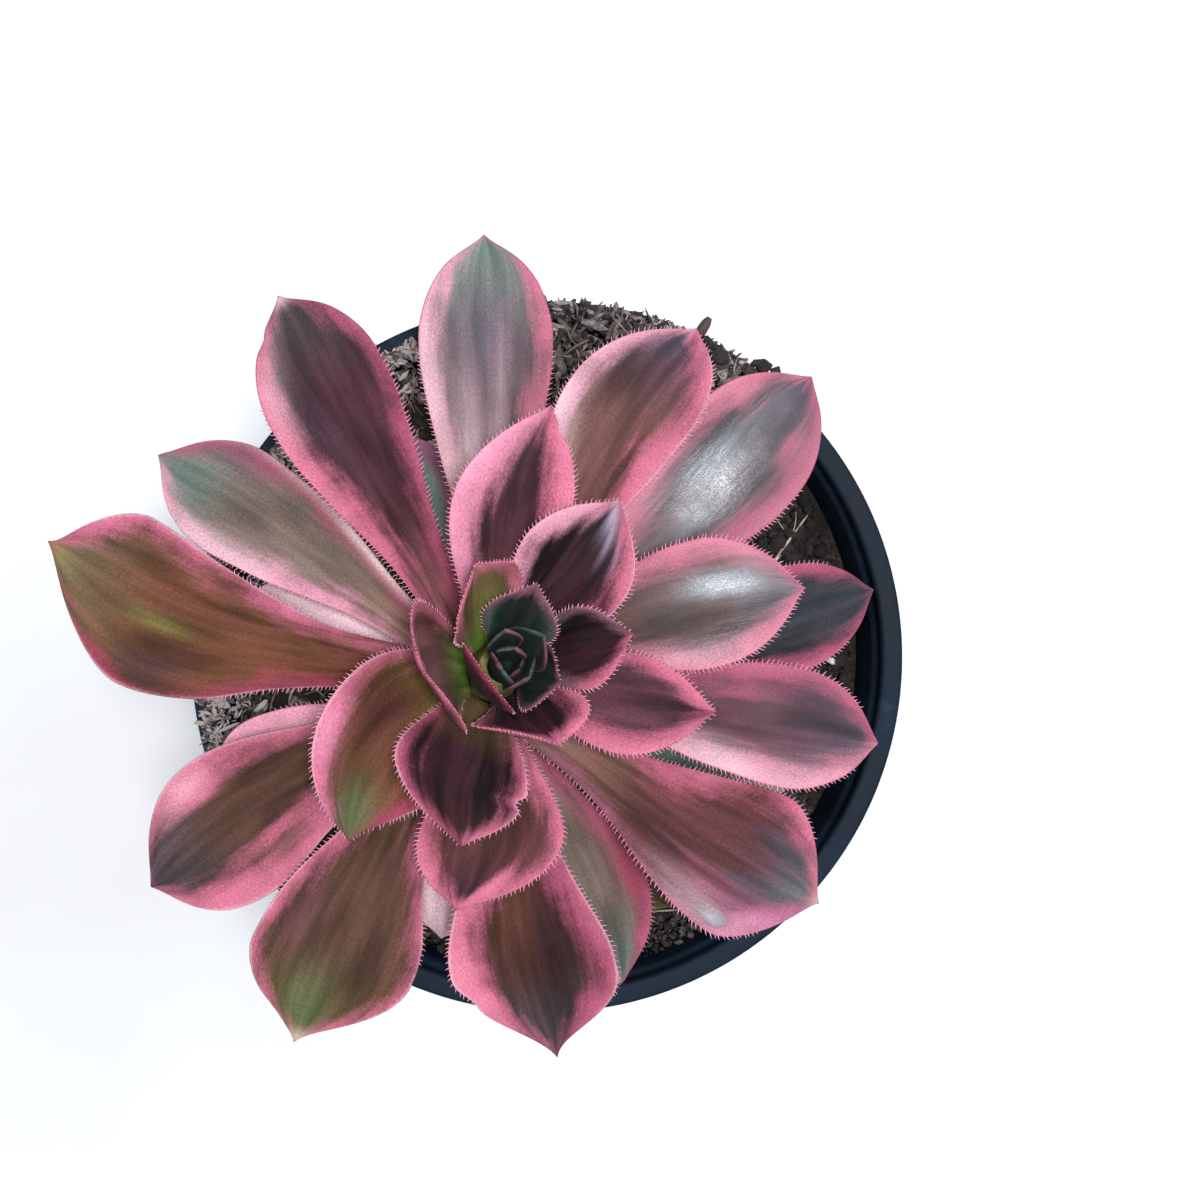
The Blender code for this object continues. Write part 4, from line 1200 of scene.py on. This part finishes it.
def make_blade(number, leaf, look, start, flesh, nib, fringe=True, cup=BLADE_CUP):
    """Points, faces, face finishes and point values of one leaf: its skin, then its fringe of hairs."""
    form = blade_form(number, leaf, start, flesh, nib, cup)
    values = blade_tints(number, leaf, look, form)
    points, faces = form.points, form.faces
    kinds = [0] * len(faces)
    if fringe:
        length = leaf[3]
        hair_points, hair_faces, hair_along = hair_fringe(number, length, look[-1], form)
        first = len(points)
        points = np.vstack([points, clear_of_stem(hair_points)])
        faces += [tuple(first + corner for corner in face) for face in hair_faces]
        kinds += [1] * len(hair_faces)
        clear = np.repeat([linear("#f6dfe4")[:3]], len(hair_points), 0)
        hair_values = {"flesh": clear, "edge": clear, "rose": np.full(len(hair_points), 5.0)}
        hair_values["wax"] = np.zeros(len(hair_points))
        hair_values["veins"] = np.stack([hair_along, hair_along * length], 1)
        values = {key: np.concatenate([values[key], hair_values[key]]) for key in values}
    return points, faces, kinds, values


def set_values(mesh, values, kinds):
    """Stores the pigments, the rose edge and the run of the veins on a leaf's mesh."""
    for name in ("flesh", "edge"):
        tint = mesh.attributes.new(name, "FLOAT_COLOR", "POINT")
        opaque = np.hstack([values[name], np.ones((len(values[name]), 1))])
        tint.data.foreach_set("color", opaque.astype(np.float32).ravel())
    for name in ("rose", "wax"):
        amount = mesh.attributes.new(name, "FLOAT", "POINT")
        amount.data.foreach_set("value", values[name].astype(np.float32))
    corners = np.zeros(len(mesh.loops), np.int32)
    mesh.loops.foreach_get("vertex_index", corners)
    veins = mesh.uv_layers.new(name="veins")
    veins.data.foreach_set("uv", (values["veins"][corners] / VEIN_MAP + 0.5).astype(np.float32).ravel())
    mesh.polygons.foreach_set("material_index", np.array(kinds, np.int32))


# The living skin is a waxy cuticle under a velvet of tiny hairs. Streaks follow the veins, and the rose
# edge ends in soft fingers. Where the velvet is thin the wax shines white, and where it is thick it is matt.
def leaf_skin(name, smooth, shine, creases):
    """A leaf's skin: the roughness of its wax, the shine that its velvet lets through, its creases' depth."""
    finish, tree, shader = new_finish(name)
    veins = add_node(tree, "ShaderNodeUVMap", uv_map="veins")
    place = add_node(tree, "ShaderNodeTexCoord").outputs["Object"]
    flesh_tint = add_node(tree, "ShaderNodeAttribute", attribute_name="flesh")
    edge_tint = add_node(tree, "ShaderNodeAttribute", attribute_name="edge")
    rose = add_node(tree, "ShaderNodeAttribute", attribute_name="rose").outputs["Fac"]
    wax = add_node(tree, "ShaderNodeAttribute", attribute_name="wax").outputs["Fac"]
    # Broad streaks, fine streaks, velvet and crumples run with the veins, each with its width and length in
    # mm. The velvet's hairs lie 0.1 mm apart, and are drawn 0.25 mm wide so that they show.
    runs = []
    for wide, long, detail, rough in (
        (2.941, 18.18, 5.0, 0.6),
        (0.8, 20.0, 3.0, 0.6),
        (0.25, 0.5263, 2.0, 0.6),
        (1.4286, 4.1667, 6.0, 0.72),
    ):
        run = add_node(
            tree, "ShaderNodeMapping", {"Vector": veins, "Scale": (VEIN_MAP / wide, VEIN_MAP / long, 1.0)}
        )
        inputs = {"Vector": run, "Scale": 1.0, "Detail": detail, "Roughness": rough}
        runs.append(add_node(tree, "ShaderNodeTexNoise", inputs, noise_dimensions="2D"))
    broad, fine, velvet, crumple = runs
    cloud = add_node(
        tree,
        "ShaderNodeTexNoise",
        {"Vector": place, "Scale": 1000 / SKIN_CLOUD, "Detail": 4.0, "Roughness": 0.6},
    )

    # How far in the rose runs, in fingers with a speckled border
    fingers = add_node(tree, "ShaderNodeMath", {0: broad, 1: 1.9, 2: -0.65}, operation="MULTIPLY_ADD")
    drift = add_node(tree, "ShaderNodeMath", {0: cloud, 1: 1.1, 2: fingers}, operation="MULTIPLY_ADD")
    speckled = add_node(tree, "ShaderNodeMath", {0: velvet, 1: 0.4, 2: drift}, operation="MULTIPLY_ADD")
    reach = add_node(tree, "ShaderNodeMath", {0: rose, 1: speckled}, operation="ADD")
    rosy = add_node(
        tree,
        "ShaderNodeMapRange",
        {"Value": reach, "From Min": 0.25, "From Max": 1.95},
        interpolation_type="SMOOTHSTEP",
    )

    # The pattern of each layer, and how dark and how light it goes
    shades = []
    for pattern, low, high, dark, light in (
        (broad, 0.3, 0.7, 0.74, 1.24),
        (fine, 0.3, 0.72, 0.93, 1.07),
        (broad, 0.42, 0.72, 0.0, 0.07),
        (cloud, 0.3, 0.7, 0.84, 1.16),
        (velvet, 0.3, 0.7, 0.78, 1.24),
    ):
        inputs = {"Value": pattern, "From Min": low, "From Max": high, "To Min": dark, "To Max": light}
        shades.append(add_node(tree, "ShaderNodeMapRange", inputs))
    dark_streaks, fine_streaks, blush, edge_shade, grains = shades
    streaks = add_node(tree, "ShaderNodeMath", {0: dark_streaks, 1: fine_streaks}, operation="MULTIPLY")
    streaked = add_node(tree, "ShaderNodeVectorMath", {0: flesh_tint, "Scale": streaks}, operation="SCALE")
    blushed = add_node(tree, "ShaderNodeMix", {0: blush, 6: streaked, 7: edge_tint}, data_type="RGBA")
    clouded = add_node(tree, "ShaderNodeVectorMath", {0: edge_tint, "Scale": edge_shade}, operation="SCALE")
    mixed = blushed.outputs[2]
    painted = add_node(tree, "ShaderNodeMix", {0: rosy, 6: mixed, 7: clouded}, data_type="RGBA").outputs[2]
    # The velvet grain lightens and darkens the colour in fine specks: partly the velvet's own tone, partly
    # painted glints of its hairs.
    grained = add_node(tree, "ShaderNodeVectorMath", {0: painted, "Scale": grains}, operation="SCALE")

    # The shine, which is best where the wax is bare
    worn = add_node(tree, "ShaderNodeMath", {0: velvet, 1: 0.6, 2: cloud}, operation="MULTIPLY_ADD")
    gloss = add_node(
        tree,
        "ShaderNodeMapRange",
        {"Value": worn, "From Min": 0.6, "From Max": 1.0, "To Min": smooth + 0.26, "To Max": smooth + 0.44},
    )
    polish = add_node(tree, "ShaderNodeMath", {0: wax, 1: -0.3, 2: gloss}, operation="MULTIPLY_ADD")

    # The relief, from the creases down to the velvet, with each depth in metres
    below = {}
    for pattern, depth in ((crumple, creases), (broad, 0.00016), (fine, 0.00003), (velvet, 0.00002)):
        inputs = {"Height": pattern, "Distance": depth, "Strength": 0.5, **below}
        below = {"Normal": add_node(tree, "ShaderNodeBump", inputs)}
    fill(shader, {"Base Color": grained, "Roughness": polish, **below})
    fill(shader, {"IOR": 1.5, "Metallic": 0.0, "Specular IOR Level": shine})
    fill(shader, {"Sheen Weight": 0.02, "Sheen Roughness": 0.4})
    return finish


waxy_skin = leaf_skin("succulent leaf skin, bare shining wax", 0.22, 0.5, 0.00014)
half_waxy_skin = leaf_skin("succulent leaf skin, thinly velvety wax", 0.3, 0.26, 0.0001)
velvet_skin = leaf_skin("succulent leaf skin, velvety", 0.36, 0.1, 0.0001)
SKINS = {16: waxy_skin, 23: waxy_skin, 12: half_waxy_skin, 19: half_waxy_skin}

# The edge hairs are clear and stiff, rose at the root and white at the point.
hair_finish, tree, shader = new_finish("clear stiff edge hairs")
veins = add_node(tree, "ShaderNodeUVMap", uv_map="veins")
split = add_node(tree, "ShaderNodeSeparateXYZ", {"Vector": veins})
toward_tip = add_node(tree, "ShaderNodeMapRange", {"Value": split, "From Min": 0.5, "From Max": 0.51})
hairy = add_node(
    tree,
    "ShaderNodeValToRGB",
    {"Fac": toward_tip},
    stops=((0.0, "#dd8fa3"), (0.4, "#efc0cc"), (1.0, "#fbeef1")),
)
fill(shader, {"Base Color": hairy, "Roughness": 0.35, "IOR": 1.5})

# How much narrower the point is than the curve gives, and over how many mm, where it isn't the usual nib
USUAL_NIB = (0.5, 2.0)
NIBS = {11: (0.5, 3.0), 12: (0.6, 2.4), 17: (0.6, 2.6), 18: (0.68, 4.6), 14: (0.5, 2.4), 13: (0.55, 3.0)}
for number, (leaf, look) in enumerate(zip(LEAVES, LOOKS), 1):
    flesh = BLADE_FLESH * min(1.0, 0.55 + leaf[3] / 100)
    start = float(stem_radius(leaf[0])) + GAP
    points, faces, kinds, values = make_blade(number, leaf, look, start, flesh, NIBS.get(number, USUAL_NIB))
    name = f"leaf_{number:02d}"
    skin = SKINS.get(number, velvet_skin)
    blade = make_piece(f"rose_edged_{name}", in_plant(points), faces, skin, hair_finish)
    set_values(blade.data, values, kinds)
    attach(blade, "root")
    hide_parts(name)

# The bud
# The growing heart: six tiny folded leaves, dark blue-green with thin paler rims, closed round the tip of
# the stem. They are one growth with the stem's tip.
BUD_BASE = STEM_TOP + GAP
BUD_CORE_RADIUS = 2.7
BUD_CORE_HEIGHT = 6.0
BUD_LEAF_CUP = math.radians(30)
BUD_LEAF_FLESH = 1.5
BUD_NIB = (0.3, 1.0)
BUD_FOOT_SUNK = 1.2
BUD_LOOK = ("heart green", "heart green", "heart green", "sea green", 0.06, "dusty", 0.05, 1.0)
FIRST_BUD_NUMBER = 41

# Height on the stem, azimuth, length, width, rise at the base and rise at the tip of each
BUD_LEAVES = (
    (44.9, 39.5, 10.7, 9.0, 60, 62),
    (45.2, 105, 11.0, 6.5, 66, 76),
    (45.7, 318, 8.8, 8.0, 68, 84),
    (46.2, 215, 8.0, 7.0, 76, 96),
    (46.8, 80, 7.5, 5.4, 76, 94),
    (47.2, 320, 6.0, 4.6, 80, 98),
)
bud_top = BUD_BASE + BUD_CORE_HEIGHT
core = (
    (0.0, BUD_BASE),
    (BUD_CORE_RADIUS * 0.9, BUD_BASE),
    (BUD_CORE_RADIUS, BUD_BASE + 1.2),
    (BUD_CORE_RADIUS * 0.75, BUD_BASE + 0.6 * BUD_CORE_HEIGHT),
    (BUD_CORE_RADIUS * 0.3, bud_top - 0.4),
    (0.0, bud_top),
)
core_points, faces = turn_profile(rounded(core, 0.6), 32)
points = np.array(core_points, float)
kinds = [0] * len(faces)
dark = np.repeat([linear(PIGMENTS["heart green"])[:3]], len(points), 0)
values = {"flesh": dark, "edge": dark, "rose": np.full(len(points), -6.0), "wax": np.zeros(len(points))}
values["veins"] = points[:, :2]
for number, (height, azimuth, length, width, rise_foot, rise_tip) in enumerate(BUD_LEAVES, FIRST_BUD_NUMBER):
    leaf = (height, azimuth, 0, length, width, rise_foot, rise_tip, 0.0, 0, YOUNG)
    start = BUD_CORE_RADIUS - BUD_FOOT_SUNK
    blade_points, blade_faces, blade_kinds, blade_values = make_blade(
        number, leaf, BUD_LOOK, start, BUD_LEAF_FLESH, BUD_NIB, False, BUD_LEAF_CUP
    )
    first = len(points)
    points = np.vstack([points, blade_points])
    faces += [tuple(first + corner for corner in face) for face in blade_faces]
    kinds += blade_kinds
    values = {key: np.concatenate([values[key], blade_values[key]]) for key in values}
bud = make_piece("growing_bud", in_plant(points), faces, velvet_skin)
set_values(bud.data, values, kinds)
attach(bud, "root")
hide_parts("bud")

# The floor, the light and the camera
# A plain pale table in soft daylight: a key light overhead, a broad sky from the right, a weak fill from the
# left and a pale room. The camera looks straight down on the rosette, as the photograph does.
FLOOR_REACH = 2500
PAPER_CLOUD = 33.33
LIGHTS_AIM = (0.0, 0.0, 0.12)
CAMERA_PLACE = (0.0097, 0.0104, 0.4085)
floor_finish, tree, shader = new_finish("plain pale paper")
place = add_node(tree, "ShaderNodeTexCoord").outputs["Object"]
paper = add_node(tree, "ShaderNodeTexNoise", {"Vector": place, "Scale": 1000 / PAPER_CLOUD, "Detail": 2.0})
papery = add_node(tree, "ShaderNodeValToRGB", {"Fac": paper}, stops=((0.3, "#f4f4f4"), (0.7, "#f8f8f8")))
fill(shader, {"Base Color": papery, "Roughness": 0.9})
corners = [(FLOOR_REACH * x, FLOOR_REACH * y, 0) for x, y in ((-1, -1), (1, -1), (1, 1), (-1, 1))]
floor = make_piece("floor", corners, [(0, 1, 2, 3)], floor_finish)

room = bpy.data.worlds.new("pale room")
room.use_nodes = True
fill(room.node_tree.nodes["Background"], {"Color": linear("#f2f5fb"), "Strength": 0.26})
bpy.context.scene.world = room


def soft_light(name, place, size, watts, code):
    """A square soft light at a place in metres, aimed at the rosette."""
    lamp = bpy.data.lights.new(name, "AREA")
    lamp.shape = "SQUARE"
    lamp.size = size
    lamp.energy = watts
    lamp.color = linear(code)[:3]
    holder = bpy.data.objects.new(name, lamp)
    holder.location = place
    holder.rotation_euler = (Vector(LIGHTS_AIM) - Vector(place)).to_track_quat("-Z", "Y").to_euler()
    bpy.context.scene.collection.objects.link(holder)


soft_light("key daylight", (0.17, 0.03, 1.3), 0.22, 13.0, "#f8faff")
soft_light("sky from the right", (0.85, 0.35, 0.95), 0.8, 7.0, "#eef4ff")
soft_light("fill from the left", (-0.85, 0.1, 0.95), 0.8, 2.5, "#f6f8ff")

camera_data = bpy.data.cameras.new("camera")
camera_data.lens = 50.0
camera_data.sensor_width = 36.0
camera = bpy.data.objects.new("camera", camera_data)
camera.location = CAMERA_PLACE
bpy.context.scene.collection.objects.link(camera)
bpy.context.scene.camera = camera
bpy.context.scene.view_settings.view_transform = "Standard"
